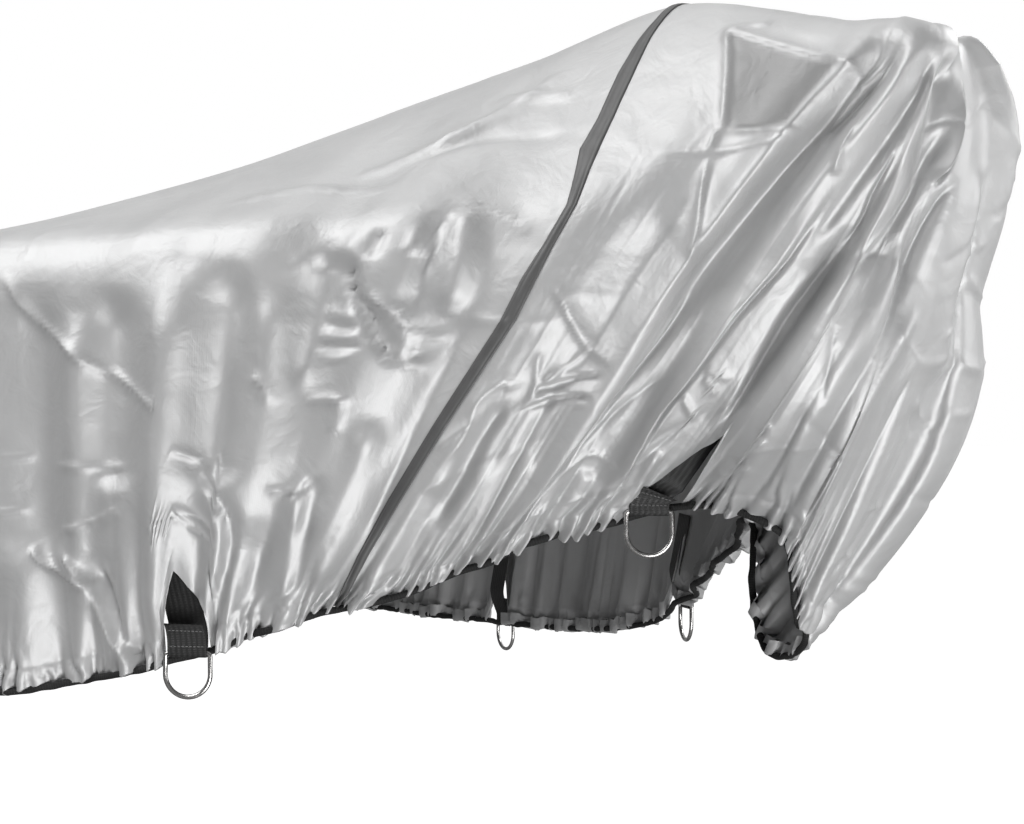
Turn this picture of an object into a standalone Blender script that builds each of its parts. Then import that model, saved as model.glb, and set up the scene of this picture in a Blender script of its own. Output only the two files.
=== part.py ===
"""A fitted boat cover: four silver cloth panels, seam bands, hem cord, straps and D-rings.

Metres, +X to the bow, +Y to port, +Z up. The origin lies under the middle of the top.
A point of the cloth has a place q round the cover (0 at the bow, 19 at the stern, positive to
starboard) and a place v down it (0 on the centre line, 1 at the top edge, 2 at the rail, 3 at the hem).
"""

import math

import bpy
import numpy as np

BOW_TO_ORIGIN = 2.1
RAIL_TO_ORIGIN = 0.0728
CLOTH_THICK = 0.0022
SEAM_WIDTH = 0.012
SEAM_GAP = 0.0018
SEAM_PROUD = 0.0006

CORD_RADIUS = 0.0036
CORD_INSIDE = 0.0015
CORD_BELOW = 0.0057
CORD_SIDES = 5

STRAP_WIDTH = 0.038
STRAP_THICK = 0.0015
NOTCH_SHOULDER = 0.030
NOTCH_STEP = 0.0025

RING_WIRE = 0.0024
RING_HALF = 0.022
RING_DEEP = 0.042
RING_CORNER = 0.0028
RING_OUT = 0.0099
RING_SIDES = 5

RUFFLE_OUT = 0.0035
RUFFLE_TALL = 0.16

# One row for each section, from the bow round to the stern. Each point is metres aft of the bow,
# out from the centre line and up from the rail. The rounds say how softly it bends there.
SECTION_COLUMNS = (
    "spine_aft", "spine_up",
    "edge_aft", "edge_out", "edge_up",
    "rail_aft", "rail_out", "rail_up",
    "hem_aft", "hem_out", "hem_up",
    "edge_round", "rail_round",
)
SECTIONS = (
    (0.050, 0.175, 0.000, 0.000, 0.168, 0.000, 0.000, -0.045, 0.185, 0.000, -0.355, 0.50, 0.80),
    (0.052, 0.177, 0.000, 0.022, 0.170, 0.019, 0.050, -0.012, 0.180, 0.030, -0.285, 0.50, 0.80),
    (0.056, 0.178, 0.001, 0.040, 0.170, 0.041, 0.072, -0.012, 0.250, 0.068, -0.249, 0.45, 0.80),
    (0.060, 0.180, 0.003, 0.050, 0.168, 0.066, 0.085, -0.011, 0.300, 0.092, -0.259, 0.40, 0.80),
    (0.066, 0.182, 0.012, 0.060, 0.171, 0.134, 0.118, -0.005, 0.339, 0.125, -0.271, 0.35, 0.80),
    (0.080, 0.186, 0.039, 0.064, 0.178, 0.177, 0.150, 0.000, 0.402, 0.185, -0.297, 0.30, 0.70),
    (0.160, 0.208, 0.151, 0.070, 0.204, 0.238, 0.190, -0.004, 0.458, 0.232, -0.328, 0.25, 0.50),
    (0.285, 0.230, 0.285, 0.077, 0.226, 0.300, 0.226, -0.006, 0.518, 0.285, -0.349, 0.25, 0.22),
    (0.450, 0.190, 0.450, 0.105, 0.185, 0.450, 0.312, 0.002, 0.575, 0.332, -0.370, 0.30, 0.15),
    (0.600, 0.156, 0.600, 0.135, 0.151, 0.600, 0.392, 0.005, 0.634, 0.375, -0.394, 0.40, 0.14),
    (0.800, 0.112, 0.800, 0.170, 0.100, 0.790, 0.485, 0.001, 0.814, 0.465, -0.436, 0.50, 0.16),
    (1.150, 0.026, 1.150, 0.220, 0.018, 1.100, 0.605, 0.000, 1.120, 0.590, -0.452, 0.60, 0.18),
    (1.550, 0.045, 1.550, 0.300, 0.036, 1.550, 0.735, -0.005, 1.560, 0.720, -0.458, 0.60, 0.18),
    (2.100, 0.075, 2.100, 0.360, 0.056, 2.100, 0.825, -0.010, 2.100, 0.805, -0.460, 0.60, 0.18),
    (2.700, 0.080, 2.700, 0.380, 0.060, 2.700, 0.860, -0.015, 2.700, 0.838, -0.462, 0.60, 0.18),
    (3.300, 0.070, 3.300, 0.370, 0.050, 3.300, 0.860, -0.020, 3.300, 0.835, -0.464, 0.60, 0.18),
    (3.620, 0.055, 3.750, 0.360, 0.035, 3.800, 0.850, -0.025, 3.790, 0.822, -0.466, 0.60, 0.18),
    (3.720, 0.050, 3.900, 0.340, 0.020, 4.120, 0.795, -0.028, 4.080, 0.765, -0.468, 0.60, 0.18),
    (3.800, 0.048, 3.980, 0.200, 0.018, 4.200, 0.480, -0.030, 4.160, 0.460, -0.470, 0.60, 0.18),
    (3.850, 0.046, 4.000, 0.000, 0.016, 4.220, 0.000, -0.030, 4.180, 0.000, -0.470, 0.60, 0.18),
)
STERN = len(SECTIONS) - 1
COLUMNS_AFTER = (5, 5, 6, 6, 7, 6, 6, 4, 5, 5, 6, 6, 5, 5, 5, 5, 5, 4, 4)

# One row for each main fold: its place (starboard above zero) and half width round the cover,
# and how far it stands out (or, below zero, sinks in) in millimetres at the top edge, the rail and the hem.
FOLD_COLUMNS = ("place", "half_width", "at_edge", "at_rail", "at_hem")
FOLDS = (
    (1.50, 0.42, -13.0, -7.0, 0.0),
    (0.95, 0.30, 0.0, -6.0, -4.0),
    (2.10, 0.35, 2.0, 8.0, 3.0),
    (2.95, 0.35, -4.0, -9.0, -2.0),
    (3.80, 0.40, 13.0, 10.0, 3.0),
    (4.35, 0.20, -3.0, -8.0, -4.0),
    (4.85, 0.20, -7.0, -9.0, -4.0),
    (5.20, 0.25, 7.0, 11.0, 6.0),
    (5.75, 0.30, -2.0, -6.0, -4.0),
    (6.40, 0.25, 0.0, 3.0, 4.0),
    (6.80, 0.22, 0.0, 2.0, 5.0),
    (7.45, 0.25, 0.0, -9.0, -5.0),
    (7.90, 0.25, 0.0, 6.0, 7.0),
    (8.35, 0.22, 0.0, -8.0, -6.0),
    (8.75, 0.22, 0.0, 4.0, 10.0),
    (9.35, 0.18, 0.0, 2.0, 9.0),
    (9.65, 0.18, 0.0, -3.0, -8.0),
    (10.05, 0.20, 0.0, 3.0, 9.0),
    (-1.80, 0.80, 32.0, 42.0, 0.0),
    (-2.60, 0.30, -5.0, -8.0, -3.0),
    (-3.40, 0.35, 8.0, 8.0, 4.0),
    (-4.30, 0.25, -4.0, -8.0, -4.0),
    (-5.20, 0.30, 5.0, 9.0, 6.0),
    (-6.10, 0.30, -2.0, -6.0, -5.0),
    (-7.60, 0.30, 0.0, -7.0, -5.0),
    (-8.10, 0.25, 0.0, 5.0, 8.0),
    (-8.80, 0.25, 0.0, -5.0, -7.0),
    (-9.50, 0.25, 0.0, 3.0, 9.0),
    (-10.00, 0.20, 0.0, -3.0, -6.0),
)
# The places down the sheet where a fold starts, and where it has those three heights.
FOLD_PLACES = (0.4, 1.0, 2.2, 3.0)
# Further aft the wall has even, shallow folds that start just above the rail.
PLAIN_FOLDS_FROM = 10.3
PLAIN_FOLD_PLACES = (1.5, 2.2, 3.0)
PLAIN_FOLD_TURNS = 1.5
PLAIN_FOLD_DRIFT = 0.7
PLAIN_FOLD_DRIFT_RATE = 2.3
PLAIN_FOLD_RAIL = 0.003
PLAIN_FOLD_HEM = 0.009
WALL_BELLY = 0.012
BOW_BELLY = 0.045
BOW_BELLY_PLACE = 1.6
BOW_BELLY_HALF = 0.9
POCKET_DEEP = 0.150
POCKET_AFT = 0.030
POCKET_PLACE = 1.8
POCKET_HALF = 1.1

BOW_ROWS = (0, 0.4, 0.8, 1.05, 1.3, 1.55, 1.8, 2.0, 2.17, 2.34, 2.5, 2.66, 2.8, 2.92, 3.0)
AFT_ROWS = (0, 0.5, 0.9, 1.35, 1.85, 2.0, 2.15, 2.45, 2.75, 3.0)

# The panels and the places of the seams between them.
PANELS = (
    ("panel_bow", 0, 7, BOW_ROWS),
    ("panel_fore", 7, 12, AFT_ROWS),
    ("panel_mid", 12, 15, AFT_ROWS),
    ("panel_stern", 15, STERN, AFT_ROWS),
)
SEAMS = (("seam_bow", 7, BOW_ROWS), ("seam_mid", 12, AFT_ROWS), ("seam_stern", 15, AFT_ROWS))

# One row for each strap and its ring: its name, its place, and the notch's height and half width.
STRAPS = (
    ("starboard_1", 3.0, 0.112, 0.034),
    ("starboard_2", 9.0, 0.085, 0.023),
    ("starboard_3", 11.0, 0.085, 0.023),
    ("starboard_4", 12.8, 0.085, 0.023),
    ("starboard_5", 14.4, 0.085, 0.023),
    ("starboard_6", 16.2, 0.085, 0.023),
    ("port_1", -4.3, 0.085, 0.027),
    ("port_2", -9.0, 0.085, 0.023),
    ("port_3", -11.0, 0.085, 0.023),
    ("port_4", -12.8, 0.085, 0.023),
    ("port_5", -14.4, 0.085, 0.023),
    ("port_6", -16.2, 0.085, 0.023),
)

SILVER = ("silver_cloth", (0.50, 0.51, 0.52), 0.42, 0.25)
SEAM_GREY = ("seam_band", (0.22, 0.23, 0.24), 0.55, 0.10)
BLACK_CORD = ("black_elastic", (0.012, 0.012, 0.013), 0.80, 0.0)
BLACK_WEBBING = ("black_webbing", (0.018, 0.018, 0.020), 0.65, 0.0)
NICKEL = ("nickel_ring", (0.62, 0.60, 0.57), 0.22, 1.0)


def clear_scene():
    for thing in list(bpy.data.objects):
        bpy.data.objects.remove(thing, do_unlink=True)


def material(name, colour, roughness, metallic):
    """A plain Principled material, made once for each name."""
    made = bpy.data.materials.get(name)
    if made:
        return made
    made = bpy.data.materials.new(name)
    made.use_nodes = True
    shader = made.node_tree.nodes["Principled BSDF"]
    shader.inputs["Base Color"].default_value = (*colour, 1.0)
    shader.inputs["Roughness"].default_value = roughness
    shader.inputs["Metallic"].default_value = metallic
    return made


def add_solid(name, points, faces, finish, smooth=True):
    mesh = bpy.data.meshes.new(name)
    mesh.from_pydata([tuple(point) for point in points], [], [tuple(face) for face in faces])
    mesh.polygons.foreach_set("use_smooth", [smooth] * len(mesh.polygons))
    mesh.materials.append(material(*finish))
    made = bpy.data.objects.new(name, mesh)
    bpy.context.scene.collection.objects.link(made)
    return made


def row_slopes(rows):
    """Slopes at the sections that neither overshoot nor kink, flat at the bow and the stern."""
    steps = np.diff(rows, axis=0)
    slopes = np.zeros_like(rows)
    before, after = steps[:-1], steps[1:]
    same_way = before * after > 0
    total = np.where(same_way, before + after, 1.0)
    slopes[1:-1] = np.where(same_way, 2 * before * after / total, 0.0)
    for column, name in enumerate(SECTION_COLUMNS):
        if name.endswith("_out"):
            slopes[0, column] = steps[0, column]
            slopes[-1, column] = steps[-1, column]
    return slopes


SECTION_ROWS = np.array(SECTIONS)
SECTION_SLOPES = row_slopes(SECTION_ROWS)


def section_at(q):
    """Every column of the section table at the places |q|, by name."""
    place = np.clip(np.abs(q), 0, STERN)
    low = np.minimum(place.astype(int), STERN - 1)
    t = (place - low)[..., None]
    start, end = SECTION_ROWS[low], SECTION_ROWS[low + 1]
    leave, arrive = SECTION_SLOPES[low], SECTION_SLOPES[low + 1]
    values = (
        start * (2 * t**3 - 3 * t**2 + 1)
        + leave * (t**3 - 2 * t**2 + t)
        + end * (3 * t**2 - 2 * t**3)
        + arrive * (t**3 - t**2)
    )
    return dict(zip(SECTION_COLUMNS, np.moveaxis(values, -1, 0)))


def soft_ramp(x, soft):
    """0 below the bend and x above it, rounded over the stretch -soft to soft."""
    return np.where(x > soft, x, np.where(x < -soft, 0.0, (x + soft) ** 2 / (4 * soft)))


def smooth_sheet(q, v):
    """The cover without folds: spine, top edge, rail and hem joined with rounded bends."""
    q, v = np.broadcast_arrays(np.asarray(q, float), np.asarray(v, float))
    at = section_at(q)
    side = np.where(q > 0, -1.0, 1.0)
    none = np.zeros_like(at["spine_up"])
    spine = np.stack([-at["spine_aft"], none, at["spine_up"]], -1)
    edge = np.stack([-at["edge_aft"], side * at["edge_out"], at["edge_up"]], -1)
    rail = np.stack([-at["rail_aft"], side * at["rail_out"], at["rail_up"]], -1)
    pocket = np.exp(-(((-q - POCKET_PLACE) / POCKET_HALF) ** 2))
    hem_aft = at["hem_aft"] + POCKET_AFT * pocket
    hem = np.stack([-hem_aft, side * at["hem_out"], at["hem_up"] - POCKET_DEEP * pocket], -1)
    top, slope, wall = edge - spine, rail - edge, hem - rail
    at_edge = soft_ramp(v - 1, at["edge_round"])[..., None]
    at_rail = soft_ramp(v - 2, at["rail_round"])[..., None]
    place = spine + top * v[..., None] + (slope - top) * at_edge + (wall - slope) * at_rail
    return place + np.array([BOW_TO_ORIGIN, 0.0, -RAIL_TO_ORIGIN])


def unit(vectors):
    return vectors / np.maximum(np.linalg.norm(vectors, axis=-1, keepdims=True), 1e-12)


def along(q, v):
    """How the smooth sheet changes with q and with v."""
    step = 1e-3
    q, v = np.broadcast_arrays(np.asarray(q, float), np.asarray(v, float))
    high, low = np.minimum(q + step, STERN), np.maximum(q - step, -STERN)
    round_it = (smooth_sheet(high, v) - smooth_sheet(low, v)) / (high - low)[..., None]
    top = np.maximum(v - step, 0)
    down_it = (smooth_sheet(q, v + step) - smooth_sheet(q, top)) / (v + step - top)[..., None]
    return round_it, down_it


def outward(q, v):
    """Unit normals of the smooth sheet, level across the centre line."""
    round_it, down_it = along(q, v)
    normals = unit(np.cross(round_it, down_it))
    on_centre = np.abs(smooth_sheet(q, v)[..., 1]) < 1e-7
    normals[..., 1] = np.where(on_centre, 0.0, normals[..., 1])
    return unit(normals)


def fold_height(q, v):
    """How far the main folds stand out of the smooth sheet."""
    q, v = np.broadcast_arrays(np.asarray(q, float), np.asarray(v, float))
    height = np.zeros_like(q)
    for row in FOLDS:
        fold = dict(zip(FOLD_COLUMNS, row))
        marks = np.array([0.0, fold["at_edge"], fold["at_rail"], fold["at_hem"]]) / 1000
        depth = np.interp(v, FOLD_PLACES, marks)
        height += depth * np.exp(-(((q - fold["place"]) / fold["half_width"]) ** 2))
    aft = np.clip(np.abs(q) - PLAIN_FOLDS_FROM, 0, 1) * np.clip(STERN - np.abs(q), 0, 1)
    tall = np.interp(v, PLAIN_FOLD_PLACES, (0.0, PLAIN_FOLD_RAIL, PLAIN_FOLD_HEM))
    drift = PLAIN_FOLD_DRIFT * np.sin(PLAIN_FOLD_DRIFT_RATE * q)
    height += aft * tall * np.sin(math.tau * PLAIN_FOLD_TURNS * q + drift)
    belly = WALL_BELLY * np.clip(np.abs(q) / 3, 0, 1)
    belly = belly + BOW_BELLY * np.exp(-(((np.abs(q) - BOW_BELLY_PLACE) / BOW_BELLY_HALF) ** 2))
    return height + belly * np.sin(math.pi * np.clip(v - 2, 0, 1))


def cloth_point(q, v, lift=0.0):
    return smooth_sheet(q, v) + outward(q, v) * (fold_height(q, v) + lift)[..., None]


def per_metre(q, v, way):
    """How much q (way 0) or v (way 1) changes over a metre of the sheet."""
    return 1 / np.linalg.norm(along(q, v)[way], axis=-1)


def notch_rise(q):
    """How much of the wall's height, from the hem up, is open above each strap."""
    rise = np.zeros_like(q)
    for _, place, notch_tall, notch_half in STRAPS:
        sideways = np.abs(q - place) / per_metre(place, 3.0, 0)
        peak = NOTCH_SHOULDER + (notch_tall - NOTCH_SHOULDER) * (1 - sideways / notch_half)
        tall = np.interp(sideways, (notch_half, notch_half + NOTCH_STEP), (NOTCH_SHOULDER, 0.0))
        tall = np.where(sideways < notch_half, peak, tall)
        rise = np.maximum(rise, tall * per_metre(place, 2.8, 1))
    return rise


def column_places(first, last):
    """The places of a panel's columns, closer together beside each notch, alike on both sides."""
    places = []
    for section in range(first, last):
        places.extend(section + np.arange(COLUMNS_AFTER[section]) / COLUMNS_AFTER[section])
    places = np.array(places + [last])
    for place, notch_half in sorted({(abs(place), notch_half) for _, place, _, notch_half in STRAPS}):
        if not first < place < last:
            continue
        per_q = per_metre(place, 3.0, 0)
        offsets = np.array([0.0, notch_half - 0.0002, notch_half + NOTCH_STEP]) * per_q
        clear = (notch_half + 3 * NOTCH_STEP) * per_q
        places = places[np.abs(places - place) > clear]
        places = np.concatenate([places, place + offsets, place - offsets[1:]])
    return np.unique(places)


def halves(corners, points):
    """A cell's triangles, split along the shorter diagonal, so that both faces of the cloth match."""
    a, b, c, d = corners
    if np.linalg.norm(points[a] - points[c]) > np.linalg.norm(points[b] - points[d]):
        a, b, c, d = b, c, d, a
    return [face for face in ((a, b, c), (a, c, d)) if len(set(face)) == 3]


def facing(points, faces):
    """Unit normals at the points, each the mean of the faces round it."""
    spots = np.array(points)
    corners = np.array(faces)
    a, b, c = (spots[corners[:, k]] for k in range(3))
    normals = np.zeros_like(spots)
    for k in range(3):
        np.add.at(normals, corners[:, k], np.cross(b - a, c - a))
    return unit(normals)


def sheet_solid(name, grids, finish, lift=0.0, thick=CLOTH_THICK, ruffled=True):
    """One closed sheet from grids of (q, v), which share the points where they meet."""
    points, index, faces = [], {}, []
    for q, v in grids:
        down = np.where(v > 2, 2 + (v - 2) * (1 - notch_rise(q)), v) if ruffled else v
        height = np.full_like(down, lift)
        if ruffled:
            odd = (np.arange(len(q)) % 2)[:, None]
            height += odd * RUFFLE_OUT * np.clip((v - 3 + RUFFLE_TALL) / RUFFLE_TALL, 0, 1)
        outer = cloth_point(q, down, height)
        ids = np.empty(q.shape, int)
        for spot in np.ndindex(q.shape):
            key = tuple(np.round(outer[spot], 6) + 0.0)
            if key not in index:
                index[key] = len(points)
                points.append(outer[spot])
            ids[spot] = index[key]
        for i, j in np.ndindex(q.shape[0] - 1, q.shape[1] - 1):
            corners = (ids[i, j], ids[i + 1, j], ids[i + 1, j + 1], ids[i, j + 1])
            faces.extend(halves(corners, points))
    inner = list(np.array(points) - facing(points, faces) * thick)
    count = len(points)
    edges = [(face[k - 1], face[k]) for face in faces for k in range(len(face))]
    known = set(edges)
    rim = [(b, a, a + count, b + count) for a, b in edges if (b, a) not in known]
    below = [[c + count for c in reversed(face)] for face in faces]
    return add_solid(name, points + inner, faces + below + rim, finish)


def panel_side(first, last, rows, side):
    """The grid of one side of a panel, stopping short of its seams."""
    half_band = SEAM_WIDTH / 2 + SEAM_GAP
    columns = side * column_places(first, last)
    v = np.array(rows, float)
    q = np.repeat(columns[:, None], len(v), axis=1)
    if first > 0:
        q[0] = side * (first + half_band * per_metre(first, v, 0))
    if last < STERN:
        q[-1] = side * (last - half_band * per_metre(last, v, 0))
    return q, np.repeat(v[None], len(columns), axis=0)


def panel_grids(first, last, rows):
    """The grids of a panel, port and starboard. The bow panel is one grid right across."""
    port_q, port_v = panel_side(first, last, rows, -1)
    star_q, star_v = panel_side(first, last, rows, 1)
    if first == 0:
        return [(np.concatenate([port_q[:0:-1], star_q]), np.concatenate([port_v[:0:-1], star_v]))]
    return [(port_q[::-1], port_v[::-1]), (star_q, star_v)]


def build_panels():
    for name, first, last, rows in PANELS:
        sheet_solid(name, panel_grids(first, last, rows), SILVER)


def build_seams():
    """The doubled bands where two panels are sewn together, a little proud of both."""
    for name, place, rows in SEAMS:
        v = np.array(rows, float)
        offset = (SEAM_WIDTH / 2) * per_metre(place, v, 0)
        q = np.stack([place - offset, np.full_like(v, place), place + offset])
        down = np.repeat(v[None], 3, axis=0)
        grids = [(q, down), (-q[::-1], down)]
        thick = CLOTH_THICK + 2 * SEAM_PROUD
        sheet_solid(name, grids, SEAM_GREY, lift=SEAM_PROUD, thick=thick, ruffled=False)


def tube(name, route, radius, sides, finish, up_hint):
    """A closed loop of wire or cord along the route."""
    count = len(route)
    ahead = unit(np.roll(route, -1, axis=0) - np.roll(route, 1, axis=0))
    across = unit(np.cross(ahead, up_hint))
    upward = np.cross(across, ahead)
    turns = math.tau * (np.arange(sides) + 0.5) / sides
    rings = (
        route[:, None]
        + radius * np.cos(turns)[None, :, None] * across[:, None]
        + radius * np.sin(turns)[None, :, None] * upward[:, None]
    )
    faces = []
    for i in range(count):
        j = (i + 1) % count
        for k in range(sides):
            m = (k + 1) % sides
            faces.append((i * sides + k, j * sides + k, j * sides + m, i * sides + m))
    return add_solid(name, rings.reshape(-1, 3), faces, finish)


def build_cord():
    """The elastic that gathers the hem: one loop just inside and below the cloth's edge."""
    places = column_places(0, STERN)
    places = np.concatenate([places, -places[-2:0:-1]])
    hem = cloth_point(places, 3.0)
    out = outward(places, 3.0)
    ahead = unit(np.roll(hem, -1, axis=0) - np.roll(hem, 1, axis=0))
    below = unit(np.cross(out, ahead))
    below *= np.sign(np.sum(below * along(places, 3.0)[1], axis=-1, keepdims=True))
    route = hem + below * CORD_BELOW - out * CORD_INSIDE
    tube("hem_cord", route, CORD_RADIUS, CORD_SIDES, BLACK_CORD, out)


# A strap's middle line: millimetres below the hem, and out from the cloth's face.
STRAP_PATH = (
    (-108, -8.0),
    (-70, -7.6),
    (-40, -7.2),
    (-14, 3.5),
    (-7, 6.1),
    (0, 6.4),
    (2.7, 7.6),
    (3.5, 9.9),
    (2.7, 12.2),
    (0, 13.4),
    (-28, 13.8),
)


def hanging_frame(place):
    """Where a ring hangs, clear of the folds beside it: its point, and the ways across, down and out."""
    out = outward(place, 3.0)
    out[2] = 0.0
    out = unit(out)
    down = np.array([0.0, 0.0, -1.0])
    beside = place + np.linspace(-1, 1, 9) * (RING_HALF + RING_WIRE) * per_metre(place, 3.0, 0)
    proud = fold_height(beside, 3.0).max() - fold_height(place, 3.0)
    return cloth_point(place, 3.0, proud), np.cross(out, down), down, out


def build_strap(name, place):
    """A folded length of webbing, from inside the wall down through the notch and round the ring."""
    path = np.array(STRAP_PATH) / 1000
    heading = unit(np.gradient(path, axis=0))
    sideways = np.stack([-heading[:, 1], heading[:, 0]], -1)
    outline = np.concatenate(
        [path + sideways * STRAP_THICK / 2, (path - sideways * STRAP_THICK / 2)[::-1]]
    )
    below, off = outline[:, :1], outline[:, 1:]
    v = np.minimum(3.0 + below[:, 0] * per_metre(place, 2.9, 1), 3.0)
    hem, across, down, out = hanging_frame(place)
    on_cloth = cloth_point(place, v) + outward(place, v) * off
    hanging = hem + down * below + out * off
    wall_down = unit(along(place, v)[1])
    wall_across = np.cross(outward(place, v), wall_down)
    share = np.clip(1 + (below + 2 * RING_WIRE) / NOTCH_SHOULDER, 0, 1)
    middle = on_cloth * (1 - share) + hanging * share
    breadth = unit(wall_across * (1 - share) + across * share)
    rows = [middle + step * STRAP_WIDTH * breadth for step in (-0.5, 0.5)]
    count = len(outline)
    faces = [(k, (k + 1) % count, count + (k + 1) % count, count + k) for k in range(count)]
    for k in range(len(path) - 1):
        quad = (k, k + 1, count - 2 - k, count - 1 - k)
        faces.append(quad[::-1])
        faces.append(tuple(count + corner for corner in quad))
    return add_solid(name, np.concatenate(rows), faces, BLACK_WEBBING, smooth=False)


def ring_outline():
    """A D seen flat: the bar along the top, then a rounded bow. Sideways and down, in metres."""
    top = RING_CORNER * (1 - math.cos(math.pi / 4))
    bar = [(RING_HALF - RING_CORNER, 0.0), (RING_HALF - top, top), (RING_HALF, RING_CORNER)]
    sweep = np.linspace(0, math.pi, 9)
    deep = RING_DEEP - RING_HALF
    bow = [(RING_HALF * math.cos(a), deep + RING_HALF * math.sin(a)) for a in sweep]
    mirrored = [(-x, y) for x, y in reversed(bar)]
    return np.array(bar + bow + mirrored + [(0.0, 0.0)])


def build_ring(name, place):
    hem, across, down, out = hanging_frame(place)
    flat = ring_outline()
    route = hem + out * RING_OUT + flat[:, :1] * across + flat[:, 1:] * down
    tube(name, route, RING_WIRE, RING_SIDES, NICKEL, np.broadcast_to(out, route.shape))


def build_fittings():
    for name, place, _, _ in STRAPS:
        build_strap(f"strap_{name}", place)
        build_ring(f"ring_{name}", place)


def main():
    clear_scene()
    build_panels()
    build_seams()
    build_cord()
    build_fittings()


main()
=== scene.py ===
"""The looks of a fitted boat cover: silver cloth with folds and a gathered hem, straps and D-rings.

Metres, +X to the bow, +Y to port, +Z up. The cloth's shape is worked out as in the part's source:
a point has a place q round the cover (0 at the bow, 19 at the stern, positive to starboard) and a
place v down it (0 on the centre line, 1 at the top edge, 2 at the rail, 3 at the hem).
"""

import math

import bmesh
import bpy
import numpy as np
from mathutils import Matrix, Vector

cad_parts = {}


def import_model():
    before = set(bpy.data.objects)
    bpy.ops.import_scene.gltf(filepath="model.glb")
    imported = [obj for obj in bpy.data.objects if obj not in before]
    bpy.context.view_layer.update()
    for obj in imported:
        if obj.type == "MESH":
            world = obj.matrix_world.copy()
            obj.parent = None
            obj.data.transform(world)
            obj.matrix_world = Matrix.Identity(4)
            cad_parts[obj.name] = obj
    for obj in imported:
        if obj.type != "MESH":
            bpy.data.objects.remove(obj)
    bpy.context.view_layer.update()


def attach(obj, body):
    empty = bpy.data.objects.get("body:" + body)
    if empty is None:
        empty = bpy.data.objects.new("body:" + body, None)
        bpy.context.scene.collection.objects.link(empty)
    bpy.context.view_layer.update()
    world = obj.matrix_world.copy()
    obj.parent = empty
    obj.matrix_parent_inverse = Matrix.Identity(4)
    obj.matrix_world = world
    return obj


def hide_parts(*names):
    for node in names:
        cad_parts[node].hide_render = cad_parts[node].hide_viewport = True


SEED = 20

# The cover's main sizes and its sections, as in the part's source.
BOW_TO_ORIGIN = 2.1
RAIL_TO_ORIGIN = 0.0728
SECTION_COLUMNS = (
    "spine_aft", "spine_up",
    "edge_aft", "edge_out", "edge_up",
    "rail_aft", "rail_out", "rail_up",
    "hem_aft", "hem_out", "hem_up",
    "edge_round", "rail_round",
)
SECTIONS = (
    (0.050, 0.175, 0.000, 0.000, 0.168, 0.000, 0.000, -0.045, 0.185, 0.000, -0.355, 0.50, 0.80),
    (0.052, 0.177, 0.000, 0.022, 0.170, 0.019, 0.050, -0.012, 0.180, 0.030, -0.285, 0.50, 0.80),
    (0.056, 0.178, 0.001, 0.040, 0.170, 0.041, 0.072, -0.012, 0.250, 0.068, -0.249, 0.45, 0.80),
    (0.060, 0.180, 0.003, 0.050, 0.168, 0.066, 0.085, -0.011, 0.300, 0.092, -0.259, 0.40, 0.80),
    (0.066, 0.182, 0.012, 0.060, 0.171, 0.134, 0.118, -0.005, 0.339, 0.125, -0.271, 0.35, 0.80),
    (0.080, 0.186, 0.039, 0.064, 0.178, 0.177, 0.150, 0.000, 0.402, 0.185, -0.297, 0.30, 0.70),
    (0.160, 0.208, 0.151, 0.070, 0.204, 0.238, 0.190, -0.004, 0.458, 0.232, -0.328, 0.25, 0.50),
    (0.285, 0.230, 0.285, 0.077, 0.226, 0.300, 0.226, -0.006, 0.518, 0.285, -0.349, 0.25, 0.22),
    (0.450, 0.190, 0.450, 0.105, 0.185, 0.450, 0.312, 0.002, 0.575, 0.332, -0.370, 0.30, 0.15),
    (0.600, 0.156, 0.600, 0.135, 0.151, 0.600, 0.392, 0.005, 0.634, 0.375, -0.394, 0.40, 0.14),
    (0.800, 0.112, 0.800, 0.170, 0.100, 0.790, 0.485, 0.001, 0.814, 0.465, -0.436, 0.50, 0.16),
    (1.150, 0.026, 1.150, 0.220, 0.018, 1.100, 0.605, 0.000, 1.120, 0.590, -0.452, 0.60, 0.18),
    (1.550, 0.045, 1.550, 0.300, 0.036, 1.550, 0.735, -0.005, 1.560, 0.720, -0.458, 0.60, 0.18),
    (2.100, 0.075, 2.100, 0.360, 0.056, 2.100, 0.825, -0.010, 2.100, 0.805, -0.460, 0.60, 0.18),
    (2.700, 0.080, 2.700, 0.380, 0.060, 2.700, 0.860, -0.015, 2.700, 0.838, -0.462, 0.60, 0.18),
    (3.300, 0.070, 3.300, 0.370, 0.050, 3.300, 0.860, -0.020, 3.300, 0.835, -0.464, 0.60, 0.18),
    (3.620, 0.055, 3.750, 0.360, 0.035, 3.800, 0.850, -0.025, 3.790, 0.822, -0.466, 0.60, 0.18),
    (3.720, 0.050, 3.900, 0.340, 0.020, 4.120, 0.795, -0.028, 4.080, 0.765, -0.468, 0.60, 0.18),
    (3.800, 0.048, 3.980, 0.200, 0.018, 4.200, 0.480, -0.030, 4.160, 0.460, -0.470, 0.60, 0.18),
    (3.850, 0.046, 4.000, 0.000, 0.016, 4.220, 0.000, -0.030, 4.180, 0.000, -0.470, 0.60, 0.18),
)
STERN = len(SECTIONS) - 1
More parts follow.
